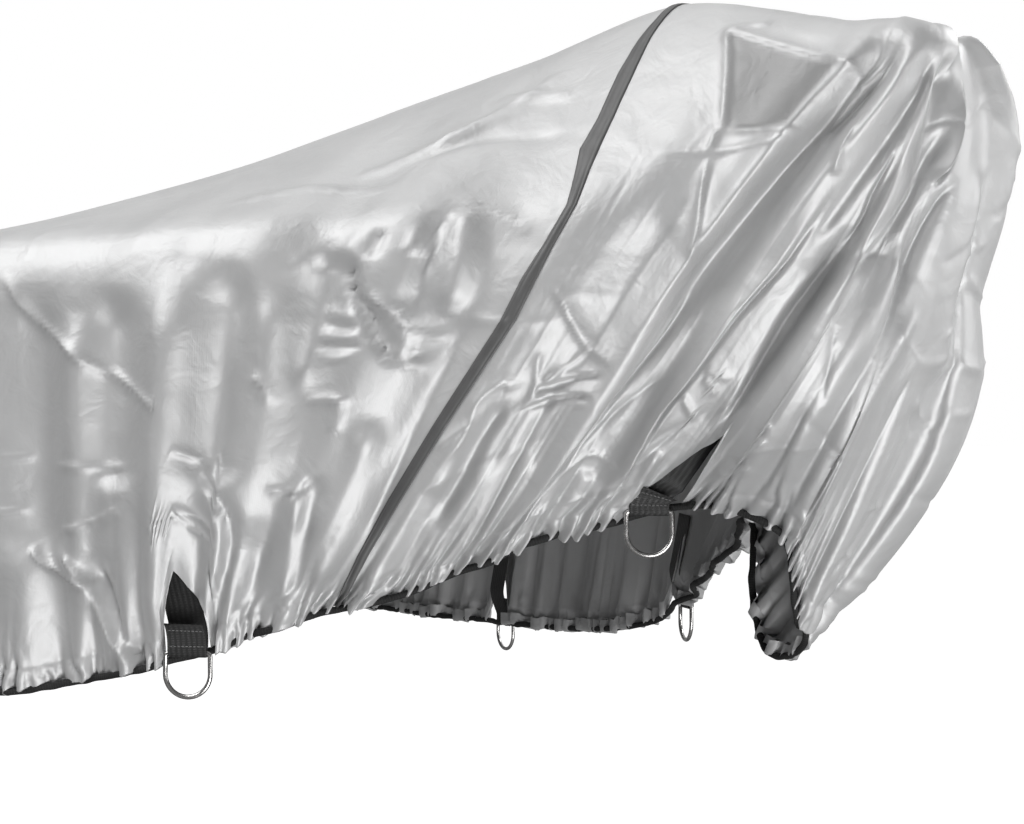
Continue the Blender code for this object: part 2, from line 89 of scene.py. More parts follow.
# The main folds: place and half width in q, then how far each stands out, in millimetres.
FOLD_COLUMNS = ("place", "half_width", "at_edge", "at_rail", "at_hem")
FOLDS = (
    (1.50, 0.42, -13.0, -7.0, 0.0),
    (0.95, 0.30, 0.0, -6.0, -4.0),
    (2.10, 0.35, 2.0, 8.0, 3.0),
    (2.95, 0.35, -4.0, -9.0, -2.0),
    (3.80, 0.40, 13.0, 10.0, 3.0),
    (4.35, 0.20, -3.0, -8.0, -4.0),
    (4.85, 0.20, -7.0, -9.0, -4.0),
    (5.20, 0.25, 7.0, 11.0, 6.0),
    (5.75, 0.30, -2.0, -6.0, -4.0),
    (6.40, 0.25, 0.0, 3.0, 4.0),
    (6.80, 0.22, 0.0, 2.0, 5.0),
    (7.45, 0.25, 0.0, -9.0, -5.0),
    (7.90, 0.25, 0.0, 6.0, 7.0),
    (8.35, 0.22, 0.0, -8.0, -6.0),
    (8.75, 0.22, 0.0, 4.0, 10.0),
    (9.35, 0.18, 0.0, 2.0, 9.0),
    (9.65, 0.18, 0.0, -3.0, -8.0),
    (10.05, 0.20, 0.0, 3.0, 9.0),
    (-1.80, 0.80, 32.0, 42.0, 0.0),
    (-2.60, 0.30, -5.0, -8.0, -3.0),
    (-3.40, 0.35, 8.0, 8.0, 4.0),
    (-4.30, 0.25, -4.0, -8.0, -4.0),
    (-5.20, 0.30, 5.0, 9.0, 6.0),
    (-6.10, 0.30, -2.0, -6.0, -5.0),
    (-7.60, 0.30, 0.0, -7.0, -5.0),
    (-8.10, 0.25, 0.0, 5.0, 8.0),
    (-8.80, 0.25, 0.0, -5.0, -7.0),
    (-9.50, 0.25, 0.0, 3.0, 9.0),
    (-10.00, 0.20, 0.0, -3.0, -6.0),
)
# Where down the cloth those heights hold. The first place is where a fold begins.
FOLD_PLACES = (0.4, 1.0, 2.2, 3.0)
# The plain folds of the rear, from this q on.
PLAIN_FOLDS_FROM = 10.3
PLAIN_FOLD_PLACES = (1.5, 2.2, 3.0)
PLAIN_FOLD_TURNS = 1.5
PLAIN_FOLD_DRIFT = 0.7
PLAIN_FOLD_DRIFT_RATE = 2.3
PLAIN_FOLD_RAIL = 0.003
PLAIN_FOLD_HEM = 0.009
# How full the walls are, and the bow, and the pocket of slack cloth on the bow's far side.
WALL_BELLY = 0.012
BOW_BELLY = 0.045
BOW_BELLY_PLACE = 1.6
BOW_BELLY_HALF = 0.9
POCKET_DEEP = 0.150
POCKET_AFT = 0.030
POCKET_PLACE = 1.8
POCKET_HALF = 1.1
# The straps: name and place, then how tall the notch above each is, and its half width. A notch
# opens at once to its shoulder, and from there slants to its top.
NOTCH_SHOULDER = 0.030
NOTCH_STEP = 0.0025
STRAPS = (
    ("starboard_1", 3.0, 0.112, 0.034),
    ("starboard_2", 9.0, 0.085, 0.023),
    ("starboard_3", 11.0, 0.085, 0.023),
    ("starboard_4", 12.8, 0.085, 0.023),
    ("starboard_5", 14.4, 0.085, 0.023),
    ("starboard_6", 16.2, 0.085, 0.023),
    ("port_1", -4.3, 0.085, 0.027),
    ("port_2", -9.0, 0.085, 0.023),
    ("port_3", -11.0, 0.085, 0.023),
    ("port_4", -12.8, 0.085, 0.023),
    ("port_5", -14.4, 0.085, 0.023),
    ("port_6", -16.2, 0.085, 0.023),
)

# The shown sheets: one row for each panel, with the metres between its columns at the hem on each
# side, how many rows it has between the centre line, the top edge, the rail and the hem, and the
# size it was cut to, hem to hem, fore to aft, and its area in square metres.
PANEL_COLUMNS = (
    "name", "first", "last", "port_step", "starboard_step", "rows_top", "rows_slope", "rows_wall",
    "cut_across", "cut_along", "cut_area",
)
PANELS = (
    ("panel_bow", 0, 7, 0.0035, 0.0019, 14, 72, 120, 1.54, 0.62, 0.60),
    ("panel_fore", 7, 12, 0.0070, 0.0033, 12, 50, 124, 2.36, 1.36, 2.70),
    ("panel_mid", 12, 15, 0.0040, 0.0040, 26, 18, 54, 2.62, 1.82, 4.60),
    ("panel_stern", 15, STERN, 0.0040, 0.0040, 26, 22, 54, 2.64, 1.66, 3.10),
)
# How much closer together the wall's rows are towards the hem.
WALL_ROWS_POWER = 1.45
# The UVs down the cloth, in metres: so much for each v over the top and the slope, and on the wall.
UV_TOP = 0.225
UV_WALL = 0.42
UV_HEM_STEP = 0.004
# The seams' bands: the place of each, and its cut length.
SEAMS = (("seam_bow", 7, 1.56), ("seam_mid", 12, 2.38), ("seam_stern", 15, 2.62))
# How far short of a seam's middle the panels end, under its band.
SEAM_TUCK = 0.003
BAND_ROWS = 240
BAND_PAST_HEM = 0.01
BAND_TURNED_IN = 0.002
BAND_UV = 0.3
# Half of a band: the metres from its middle, and how far it stands off the cloth.
BAND_HALF_PROFILE = (
    (0.0000, 0.0017),
    (0.0026, 0.0015),
    (0.0034, 0.0011),
    (0.0042, 0.0015),
    (0.0057, 0.0011),
    (0.0062, 0.0001),
)
BAND_PROFILE = [(-off, lift) for off, lift in BAND_HALF_PROFILE[:0:-1]] + list(BAND_HALF_PROFILE)
# How far aft the bow seam wanders to starboard, and how wide its band is, down the cover.
SEAM_WAVE_COLUMNS = ("v", "aft", "width")
SEAM_WAVE = (
    (0.00, 0.00, 1.0),
    (0.80, 0.03, 0.9),
    (1.00, 0.05, 0.8),
    (1.15, 0.08, 1.1),
    (1.30, 0.09, 1.4),
    (1.50, 0.08, 1.3),
    (1.62, 0.09, 1.5),
    (1.72, 0.06, 1.1),
    (1.86, 0.01, 0.8),
    (2.00, 0.03, 0.8),
    (2.10, 0.03, 1.1),
    (2.22, 0.00, 1.2),
    (2.35, 0.04, 1.1),
    (2.50, 0.09, 1.0),
    (2.70, 0.13, 1.0),
    (2.85, 0.14, 0.9),
    (3.00, 0.09, 0.8),
)
SEAM_WAVE_PLACE = 7
SEAM_WAVE_HALF = 0.5

# All creases' heights are taken this many times, and the wall's this many times more.
CREASE_GAIN = 1.3
WALL_GAIN = 1.3
# A crease reaches this many half widths, and dies away over this share of its length at each end.
CREASE_REACH = 3.2
CREASE_END = 0.18
# A lap's groove: how many half widths from its crest, and how deep for its height.
LAP_FOOT = 1.7
LAP_GROOVE = 0.75
# A fold wider than this tapers to its ends, and is uneven.
WIDE_FOLD = 0.012
# The folds narrow toward the peak, but no further than this.
PEAK_NARROW = 0.35
# All creases die away toward the peak: its place, and where along and down the cloth they do so.
PEAK_PLACE = 1.6
PEAK_FADE_HALF = 2.6
PEAK_FADE_FROM = 1.50
PEAK_FADE_TO = 1.05
# The far side's top hangs a little lower than its main fold.
FAR_LOBE_PLACE = -1.7
FAR_LOBE_HALF = 1.0
FAR_LOBE_DOWN = 0.35
FAR_LOBE_DROP = 0.016
# Over the peak the main folds run together into one rounded roll.
PEAK_ROLL = 0.012
PEAK_ROLL_PLACES = (0.2, 1.2, 4.8, 5.6)
PEAK_ROLL_DOWNS = (0.25, 0.60, 0.92, 1.17)
# Creases and folds of the cloth: how far each stands out (or sinks in) in millimetres, its half
# widths in millimetres to the left and right of its way, and the way itself over the cloth as
# (q, v) points. A crease has a crisp crest, a fold a round one, and a lap falls off its crest into
# a groove on its right. All thin creases have one width.
CREASE_COLUMNS = ("shape", "height", "left", "right", "way")
THIN_HALF = 3.4


def crease(height, left, right, *way):
    return "crease", height, left, right, way


def thin(height, *way):
    return "crease", height, THIN_HALF, THIN_HALF, way


def fold(height, left, right, *way):
    return "fold", height, left, right, way


def lap(height, left, right, *way):
    return "lap", height, left, right, way


BOW_CREASES = (
    # the long folds from the peak down to the hem, from aft forward, each walked upwards
    lap(7, 24, 2.6, (5.3, 3), (5.25, 2.88), (5.16, 2.74), (5.05, 2.6), (4.97, 2.46), (4.86, 2.3),
        (4.84, 2.12)),
    crease(5.5, 22, 9, (5.34, 2.4), (5.22, 2.1), (5.21, 1.94), (5.19, 1.77), (5.18, 1.57),
        (5.14, 1.33), (5.07, 1.14), (4.95, 1.03)),
    fold(-9, 13, 13, (4.88, 2.36), (4.79, 2.1), (4.77, 1.95), (4.75, 1.75), (4.73, 1.58),
        (4.38, 1.35), (4.12, 1.2), (3.95, 1.06)),
    fold(5, 12, 12, (4.5, 2.5), (4.35, 2.25), (4.2, 2.05), (4.15, 1.9), (4.05, 1.7), (3.95, 1.55),
        (3.8, 1.42), (3.64, 1.26), (3.45, 1.12)),
    lap(8, 18, 2.4, (4.24, 2.96), (4.12, 2.84), (4.17, 2.68), (4.18, 2.55), (4.08, 2.45), (4, 2.33),
        (3.92, 2.2), (3.74, 2.03), (3.7, 1.88), (3.67, 1.66)),
    crease(3, 9, 5, (4.32, 2.5), (4.16, 2.36), (4.1, 2.24), (3.98, 2.12)),
    crease(5, 5, 3, (3.7, 1.66), (3.86, 1.6), (4.02, 1.5), (4.06, 1.42)),
    fold(-5, 9, 8, (3.5, 1.95), (3.42, 1.8), (3.35, 1.62), (3.22, 1.42), (3, 1.22)),
    lap(5, 10, 2.2, (2.92, 1.96), (2.86, 1.84), (2.96, 1.74), (2.95, 1.64), (2.9, 1.54)),
    fold(4.5, 9, 8, (2.95, 1.7), (2.85, 1.5), (2.6, 1.3), (2.3, 1.15)),
    lap(6, 15, 4, (3.06, 2.66), (3.1, 2.55), (3.17, 2.42), (3.24, 2.3), (3.26, 2.2), (3.2, 2.08),
        (3.1, 1.98)),
    fold(-8, 12, 12, (2.8, 2.62), (2.84, 2.45), (2.86, 2.3), (2.78, 2.1), (2.62, 1.95), (2.45, 1.8),
        (2.2, 1.6), (1.95, 1.35)),
    crease(5.5, 6, 9, (2.46, 2.85), (2.42, 2.62), (2.38, 2.45), (2.3, 2.25), (2.08, 2.05),
        (1.78, 1.9), (1.42, 1.74), (1.05, 1.62)),
    fold(-9, 10, 8, (2, 2.1), (1.9, 2), (1.68, 1.88), (1.36, 1.75), (1.14, 1.63), (0.92, 1.53),
        (0.8, 1.4)),
    lap(13, 13, 3, (0.85, 1.68), (0.64, 1.56), (0.5, 1.42), (0.44, 1.28), (0.44, 1.12),
        (0.5, 0.95)),
    crease(-8, 9, 6, (1.24, 2.95), (1.2, 2.75), (1.18, 2.55), (1.13, 2.4), (1.03, 2.25),
        (0.88, 2.05), (0.77, 1.9), (0.66, 1.78), (0.48, 1.66), (0.2, 1.56)),
    fold(5, 10, 10, (1.42, 2.85), (1.4, 2.6), (1.33, 2.35), (1.2, 2.1), (1.05, 1.92)),
    crease(-5, 4, 3, (0.96, 2.92), (0.98, 2.78), (0.96, 2.64)),
    fold(5, 9, 7, (0.8, 2.9), (0.8, 2.7), (0.78, 2.5), (0.6, 2.25), (0.45, 2.05)),
    crease(-1.6, 2.4, 2.4, (1.37, 2.53), (1.45, 2.47), (1.58, 2.36), (1.8, 2.24)),
    crease(-2.2, 3, 3, (1.52, 2.86), (1.5, 2.7), (1.53, 2.54)),
    crease(-3, 5, 5, (0.2, 2.95), (0.28, 2.7), (0.25, 2.45), (0.08, 2.2)),
    # the square pressed in near the top edge, whose darker colour is painted shade, and the creases
    # that run on from it
    crease(3.6, 5, 3, (5.82, 1.56), (6.16, 1.3), (6.48, 1.05)),
    crease(3.6, 4, 9, (6.5, 1.07), (6.2, 1.1), (5.85, 1.13), (5.17, 1.19), (4.95, 1.22)),
    crease(-2.4, 2.4, 3, (6.42, 1.1), (5.85, 1.145), (5.2, 1.205)),
    crease(3.4, 3, 3, (5.2, 1.18), (4.86, 1.235), (4.53, 1.3)),
    crease(2, 4, 4, (6.42, 1.09), (6.3, 1.04), (6.1, 0.98)),
    crease(2.8, 2.4, 4, (5.88, 1.52), (5.48, 1.515), (5.2, 1.51), (4.62, 1.53)),
    crease(2.2, 4, 3, (6.45, 1.645), (5.84, 1.62), (5.5, 1.585), (5.2, 1.56), (4.9, 1.545)),
    crease(3.4, 4, 2.6, (5.84, 1.62), (5.92, 1.52)),
    crease(5, 5, 2.6, (5.15, 2.04), (5.3, 1.94), (5.45, 1.86), (5.62, 1.77), (5.84, 1.62)),
    fold(-4, 18, 18, (5.66, 2.32), (5.72, 2.15), (5.74, 2), (5.7, 1.88)),
    # the star of creases under it
    crease(4.2, 9, 3, (6.86, 2.1), (6.47, 2.17), (6.08, 2.24), (5.78, 2.3), (5.5, 2.34),
        (5.2, 2.37)),
    crease(2.8, 4, 2.4, (6.2, 2.4), (5.8, 2.39), (5.36, 2.385)),
    crease(-3, 2.6, 2.6, (6.2, 2.42), (5.7, 2.412), (5.25, 2.4)),
    crease(4.2, 5, 3, (6.4, 2.48), (5.95, 2.446), (5.6, 2.445), (5.22, 2.45)),
    crease(-2.6, 2.6, 2.6, (6.1, 2.465), (5.7, 2.462), (5.3, 2.468)),
    crease(2.2, 3, 2.4, (5.8, 2.485), (5.5, 2.48), (5.28, 2.49)),
    crease(2.8, 3, 3, (6.1, 2.45), (6.22, 2.38), (6.42, 2.3)),
    crease(2, 3, 2.4, (6.1, 2.4), (5.85, 2.35), (5.7, 2.3)),
    # between the band and the first long fold, low down
    fold(-6, 9, 7, (6.42, 2.82), (6.44, 2.66), (6.5, 2.54), (6.42, 2.43)),
    crease(4, 8, 5, (6.86, 2.62), (6.74, 2.52), (6.82, 2.43), (6.64, 2.38), (6.45, 2.42)),
    crease(2.6, 4, 3, (7, 2.56), (6.86, 2.51), (6.72, 2.49)),
    fold(4, 12, 9, (6.3, 2.95), (6.2, 2.78), (6.15, 2.6)),
    fold(-4, 9, 9, (6.75, 2.95), (6.72, 2.8), (6.7, 2.66)),
    fold(4, 9, 7, (5.7, 2.97), (5.64, 2.8), (5.6, 2.62)),
    # short creases between the long folds
    crease(2.4, 3, 3, (5, 2.75), (4.75, 2.7), (4.5, 2.725), (4.28, 2.76)),
    crease(2.2, 4, 3, (3.88, 2.41), (3.6, 2.44), (3.3, 2.47)),
    crease(2.2, 3, 3, (3.8, 2.45), (3.6, 2.48), (3.42, 2.53)),
    crease(3.2, 4, 2.6, (3.97, 2.51), (3.75, 2.56), (3.45, 2.63)),
    crease(3, 4, 4, (2.02, 2.8), (1.85, 2.74), (1.74, 2.68)),
    crease(2.4, 3, 3, (1.98, 2.66), (1.8, 2.62)),
    crease(2, 3, 3, (2.2, 2.86), (1.9, 2.85), (1.7, 2.8)),
    fold(5, 9, 8, (4.62, 2.99), (4.56, 2.86), (4.56, 2.76)),
    fold(4, 8, 7, (3.72, 2.98), (3.72, 2.84), (3.76, 2.72)),
    # the far side of the bow
    crease(-4, 5, 5, (-1, 2.5), (-0.95, 2.2), (-0.9, 1.95), (-0.95, 1.7), (-1.05, 1.5)),
    fold(6, 12, 12, (-0.5, 2.3), (-0.45, 2.1), (-0.45, 1.8), (-0.5, 1.5)),
    crease(2, 3, 2.4, (-0.3, 2.12), (-0.9, 2.08)),
    crease(2.4, 4, 3, (-0.5, 1.88), (-0.8, 1.84), (-1.2, 1.85)),
    crease(-2.6, 3.2, 3.2, (-0.25, 2.34), (-0.5, 2.43), (-1.1, 2.42)),
    crease(2.4, 2.4, 2.4, (-0.22, 2.3), (-0.45, 2.38), (-0.8, 2.4)),
    crease(3, 3, 2.6, (-0.15, 2.64), (-0.6, 2.66)),
    crease(2.4, 2.4, 2.4, (-0.1, 2.78), (-0.4, 2.8)),
    crease(-3, 4, 3, (0, 2.9), (-0.3, 2.75), (-0.45, 2.55), (-0.4, 2.42)),
)
# The corners, (q, v), in turn, of the square near the bow's top edge that the cloth's colour darkens
# as painted shade.
SHADED_SQUARE = ((6.46, 1.09), (5.15, 1.20), (5.12, 1.50), (5.84, 1.555))
SHADED_SQUARE_SOFT = 0.035
# Creases and folds of the wall and the top behind the bow seam.
WALL_CREASES = (
    fold(-10.3, 33.6, 33.6, (9.86, 2.08), (9.84, 2.45), (9.86, 2.75)),
    fold(10.3, 36.4, 36.4, (9.66, 2.15), (9.62, 2.5), (9.6, 2.8)),
    fold(-9.2, 25.2, 25.2, (9.48, 2.1), (9.46, 2.4), (9.44, 2.6)),
    fold(11.5, 33.6, 33.6, (9.12, 2.05), (9.15, 2.4), (9.2, 2.7), (9.25, 3)),
    fold(-10.3, 25.2, 25.2, (8.78, 2.05), (8.82, 2.4), (8.85, 2.62)),
    fold(10.3, 30.8, 30.8, (8.5, 2.1), (8.42, 2.45), (8.45, 2.8)),
    fold(-8, 25.2, 25.2, (8.2, 2.02), (8.22, 2.2), (8.25, 2.4)),
    crease(9, 5.5, 16, (8.92, 2.6), (8.74, 2.68), (8.72, 2.78), (8.82, 2.9), (8.84, 3)),
    crease(-8, 7, 7, (8.84, 2.61), (8.68, 2.69), (8.66, 2.78), (8.76, 2.9), (8.78, 3)),
    crease(2.6, 3, 3, (9.8, 2.505), (9.58, 2.52), (9.36, 2.535)),
    crease(2.2, 3, 3, (10.3, 2.47), (10, 2.48), (9.84, 2.485)),
    crease(3, 3, 3, (9.76, 2.655), (9.58, 2.65), (9.38, 2.62)),
    crease(9, 6.6, 20, (9.76, 2.68), (9.62, 2.78), (9.52, 2.9), (9.4, 2.99)),
    crease(-7, 9, 9, (9.6, 2.72), (9.5, 2.82), (9.42, 2.93), (9.33, 2.99)),
    crease(-2.4, 3.9, 3.9, (8.22, 2.645), (8.04, 2.648), (7.85, 2.6)),
    crease(4.5, 8, 16, (8.05, 2.62), (7.98, 2.75), (7.92, 2.95)),
    crease(-4.5, 9, 9, (7.88, 2.6), (7.82, 2.78), (7.75, 2.97)),
    fold(9.2, 22.4, 22.4, (7.62, 2.45), (7.52, 2.7), (7.5, 2.95)),
    crease(-4, 7, 7, (7.3, 2.2), (7.28, 2.5), (7.25, 2.8)),
    fold(7, 15, 11, (7.62, 1.86), (7.53, 2.02), (7.45, 2.22)),
    crease(-6, 8, 6, (7.74, 1.88), (7.7, 2.04), (7.65, 2.22)),
    crease(4.3, 3.7, 3.7, (7.8, 1.95), (7.76, 2.05)),
    fold(-5, 8, 8, (7.98, 2.15), (7.82, 2.23), (7.68, 2.3)),
    crease(5, 5, 3.4, (7.96, 2.15), (7.9, 2.17), (7.76, 2.19), (7.65, 2.24), (7.58, 2.34)),
    crease(-6, 3.4, 4, (8.15, 2), (8.05, 2.13), (7.88, 2.21), (7.74, 2.29), (7.59, 2.34)),
    crease(2.2, 3, 3, (8.2, 2.19), (8.08, 2.205), (7.94, 2.21)),
    crease(-2.2, 3, 3, (8.2, 2.22), (8.06, 2.235), (7.9, 2.235)),
    crease(2.2, 3, 3, (8.22, 2.25), (8.06, 2.26), (7.86, 2.255)),
    crease(-2.2, 3, 3, (8.2, 2.275), (8.04, 2.285), (7.84, 2.275)),
    crease(2.2, 3, 3, (8.16, 2.305), (8.02, 2.31), (7.88, 2.3)),
    crease(-3.5, 3.9, 3.9, (8, 1.96), (7.98, 2.06)),
    crease(3.2, 9, 5, (8.5, 1.66), (8.25, 1.58), (8, 1.5), (7.55, 1.36)),
    crease(2.6, 8, 5, (8.1, 1.55), (7.8, 1.4), (7.5, 1.18)),
    crease(-1.8, 5, 5, (8.2, 1.6), (7.8, 1.52), (7.3, 1.55)),
    crease(2.6, 6, 5, (7.9, 1.3), (7.4, 1.34)),
    thin(3.8, (10.02, 2.05), (9.85, 2.18), (9.62, 2.27), (9.4, 2.34), (9.12, 2.43)),
    thin(3.2, (9.12, 2.5), (8.95, 2.54), (8.86, 2.61)),
    thin(2.6, (10.3, 2.61), (9.85, 2.6)),
    thin(4.9, (9.87, 2.68), (9.82, 2.72), (9.68, 2.77), (9.55, 2.8)),
    thin(2.9, (9.12, 2.64), (8.95, 2.67), (8.8, 2.71)),
    thin(2.6, (9.25, 2.68), (9, 2.66)),
    thin(2.6, (9, 2.7), (8.82, 2.735)),
    thin(2.4, (8.34, 2.625), (8.2, 2.635), (8.06, 2.637)),
    thin(2.9, (8.05, 2.6), (8.02, 2.66), (7.95, 2.75)),
    thin(2.5, (7.6, 2.24), (7.48, 2.26), (7.38, 2.25)),
    thin(-2.5, (7.62, 2.29), (7.46, 2.31)),
    thin(1.9, (7.6, 2.33), (7.42, 2.34)),
    thin(3.8, (8.62, 2.34), (8.5, 2.37), (8.42, 2.42)),
    thin(2.9, (8.46, 2.02), (8.4, 2.12), (8.42, 2.2)),
    thin(-2.9, (8.3, 1.99), (8.28, 2.1)),
    thin(2.9, (8.15, 1.97), (8.12, 2.07)),
    thin(2.6, (8.15, 2.42), (8, 2.41), (7.8, 2.42)),
    thin(2.9, (7.9, 2.4), (7.86, 2.5)),
    thin(2.3, (9.2, 1.78), (8.6, 1.72), (8.1, 1.75)),
    thin(2.3, (7.75, 1.8), (7.4, 1.9), (7.2, 1.96)),
)

# Where a notch's top lies off its middle, as a share of its half width, positive aft.
NOTCH_TOPS = {
    "starboard_1": -0.5,
    "starboard_2": 0.55,
    "starboard_4": -0.3,
    "port_2": 0.3,
    "port_5": -0.4,
}
# A notch's width as a share of the solid's, how uneven its sides are, and how far its edge curls.
NOTCH_SHARE = 0.88
NOTCH_UNEVEN = 0.10
NOTCH_CURL = 0.0035

# The hem's relief: how far apart its parts are, how far they stand out, and how far up they reach.
PLEAT_PITCH = 0.0135
PLEAT_OUT = 0.0070
PLEAT_FADE = 0.019
GATHER_PITCH = 0.028
GATHER_OUT = 0.0060
GATHER_FADE = 0.070
BROAD_PITCH = 2.4 * GATHER_PITCH
BROAD_OUT = 0.0058
BROAD_FADE = 0.17
CASING_UP = 0.019
CASING_OUT = 0.0012
GROOVE_DEEP = 0.0006
GROOVE_HALF = 0.0022
EDGE_WAVE = 0.0048
# What wanders along the hem: over how many metres, its row and seed in the noise, the value in the
# middle, and how far it swings to either side.
UNEVEN_COLUMNS = ("metres", "row", "seed", "middle", "swing")
UNEVEN = {
    "pleat_drift": (0.031, 3.0, 11, 0.0, 0.75),
    "pleat_strength": (0.026, 7.0, 13, 0.75, 0.55),
    "pleat_reach": (0.018, 9.0, 14, 1.15, 0.75),
    "gather_lean": (0.21, 1.0, 21, 0.0, 5.0),
    "gather_drift": (0.09, 5.0, 22, 0.0, 0.9),
    "gather_reach": (0.05, 2.0, 23, 1.2, 0.9),
    "gather_strength": (0.06, 4.0, 24, 0.7, 0.5),
    "broad_drift": (0.17, 6.0, 25, 0.0, 0.8),
    "groove_up": (0.03, 0.0, 31, CASING_UP, 0.0015),
    "edge_fine": (0.012, 1.0, 61, 0.0, 0.6),
    "edge_broad": (0.045, 2.0, 62, 0.0, 0.5),
    "notch_curl": (0.02, 1.0, 63, 0.6, 0.6),
    "cord_wave": (0.011, 0.0, 71, 0.0, 0.0007),
    "cord_width": (0.009, 4.0, 72, 1.0, 0.08),
}
# The hem turned in: how far in from the cloth's face, and how far up, at each step.
HEM_TURN = ((0.0016, -0.0012), (0.0030, 0.0006), (0.0036, 0.0060), (0.0040, 0.0150))
# The rest of the fine relief: how far each kind stands out.
LONG_FOLD_OUT = 0.0022
FINE_FOLD_OUT = 0.0004
CRUMPLE_OUT = 0.0009
CRUMPLE_GRAIN = 0.050
SAG_OUT = 0.0030
# How near the stern's middle, as a part of q, it all ends.
STERN_FADE = 0.25
# Packing creases: their lengths, slants and bends in metres, their half widths and heights in
# millimetres, then where they lie: how many, and between which q and which v.
PACKING_LONG = (0.04, 0.16)
PACKING_SLANT = 0.09
PACKING_BEND = 0.012
PACKING_HALF = (2.6, 5.0)
PACKING_OUT = (0.8, 2.4)
PACKING_CREASES = (
    (34, (-9.8, -1.0), (1.2, 2.95)),
    (60, (10.4, 18.6), (1.2, 2.95)),
    (60, (-18.6, -9.8), (1.2, 2.95)),
    (12, (0.8, 6.6), (2.1, 2.9)),
)

CORD_RADIUS = 0.0036
CORD_INSIDE = 0.0015
CORD_BELOW = 0.0040
CORD_SIDES = 10
CORD_STEP = 0.0040

STRAP_WIDTH = 0.038
STRAP_THICK = 0.0015
STRAP_ROWS = 64
# Across the webbing: share of its half width, and share of its half thickness.
STRAP_RIM = (
    (-1.0, 0.35), (-0.97, 0.85), (-0.90, 1.0), (0.0, 1.0), (0.90, 1.0), (0.97, 0.85), (1.0, 0.35),
)
# How far aft a strap leans inside the wall, and how far up that is reached.
STRAP_LEAN_UP = 0.09
STRAP_LEAN = 0.008
# One strap leans more than the others.
STRAP_LEANS = {9.0: 0.022}
# A strap's middle line: millimetres below the hem, and out from the cloth's face. Its last four
# points are the outer layer, which is sewn down.
STRAP_PATH = (
    (-108, -8.0), (-88, -7.9), (-70, -7.6), (-55, -7.6), (-40, -7.2), (-30, -3.6), (-21, 0.4),
    (-14, 3.5), (-7, 6.1), (0, 6.4), (2.0, 7.0), (3.2, 8.3), (3.5, 9.9), (3.2, 11.4), (2.0, 12.7),
    (0, 13.4), (-9, 13.6), (-19, 12.6), (-28, 11.4),
)
# The rows of stitches, in metres below the hem, and one stitch: its shares along and thick.
STITCH_ROWS = (-0.0065, -0.0215)
STITCH_COUNT = 9
STITCH_PITCH = 0.0038
STITCH_HALF = 0.0015
STITCH_RADIUS = 0.00042
STITCH_SIDES = 6
STITCH_SHAPE = ((-1.0, 0.05), (-0.7, 0.8), (0.0, 1.0), (0.7, 0.8), (1.0, 0.05))

RING_WIRE = 0.0024
RING_SIDES = 14
RING_HALF = 0.022
RING_DEEP = 0.042
RING_CORNER = 0.0040
RING_OUT = 0.0099


# ---------------------------------------------------------------- the cloth's shape


def row_slopes(rows):
    """Slopes at the sections that neither overshoot nor kink, flat at the bow and the stern."""
    steps = np.diff(rows, axis=0)
    slopes = np.zeros_like(rows)
    before, after = steps[:-1], steps[1:]
    same_way = before * after > 0
    total = np.where(same_way, before + after, 1.0)
    slopes[1:-1] = np.where(same_way, 2 * before * after / total, 0.0)
    for column, name in enumerate(SECTION_COLUMNS):
        if name.endswith("_out"):
            slopes[0, column] = steps[0, column]
            slopes[-1, column] = steps[-1, column]
    return slopes


SECTION_ROWS = np.array(SECTIONS)
SECTION_SLOPES = row_slopes(SECTION_ROWS)


def section_at(q):
    """The sections' values at each place, by name."""
    place = np.clip(np.abs(q), 0, STERN)
    low = np.minimum(place.astype(int), STERN - 1)
    t = (place - low)[..., None]
    start, end = SECTION_ROWS[low], SECTION_ROWS[low + 1]
    leave, arrive = SECTION_SLOPES[low], SECTION_SLOPES[low + 1]
    values = (
        start * (2 * t**3 - 3 * t**2 + 1)
        + leave * (t**3 - 2 * t**2 + t)
        + end * (3 * t**2 - 2 * t**3)
        + arrive * (t**3 - t**2)
    )
    return dict(zip(SECTION_COLUMNS, np.moveaxis(values, -1, 0)))


def eased(x):
    """Between 0 and 1, with no sudden start or end."""
    x = np.clip(x, 0, 1)
    return x * x * (3 - 2 * x)


def rising(x, start, full):
    """0 up to the start, 1 from full on, and even between."""
    return np.clip((x - start) / (full - start), 0, 1)


def hump(off, half):
    """1 in the middle, and less and less with the way off it."""
    return np.exp(-((off / half) ** 2))


def paired(q, v):
    return np.broadcast_arrays(np.asarray(q, float), np.asarray(v, float))


def soft_ramp(x, soft):
    """0 where x is below 0 and x where it is above, rounded between."""
    return np.where(x > soft, x, np.where(x < -soft, 0.0, (x + soft) ** 2 / (4 * soft)))


def smooth_sheet(q, v):
    """Points of the cloth without its folds."""
    q, v = paired(q, v)
    at = section_at(q)
    side = np.where(q > 0, -1.0, 1.0)
    none = np.zeros_like(at["spine_up"])
    spine = np.stack([-at["spine_aft"], none, at["spine_up"]], -1)
    edge = np.stack([-at["edge_aft"], side * at["edge_out"], at["edge_up"]], -1)
    rail = np.stack([-at["rail_aft"], side * at["rail_out"], at["rail_up"]], -1)
    pocket = hump(-q - POCKET_PLACE, POCKET_HALF)
    hem_aft = at["hem_aft"] + POCKET_AFT * pocket
    hem = np.stack([-hem_aft, side * at["hem_out"], at["hem_up"] - POCKET_DEEP * pocket], -1)
    top, slope, wall = edge - spine, rail - edge, hem - rail
    at_edge = soft_ramp(v - 1, at["edge_round"])[..., None]
    at_rail = soft_ramp(v - 2, at["rail_round"])[..., None]
    place = spine + top * v[..., None] + (slope - top) * at_edge + (wall - slope) * at_rail
    return place + np.array([BOW_TO_ORIGIN, 0.0, -RAIL_TO_ORIGIN])


def unit(vectors):
    return vectors / np.maximum(np.linalg.norm(vectors, axis=-1, keepdims=True), 1e-12)


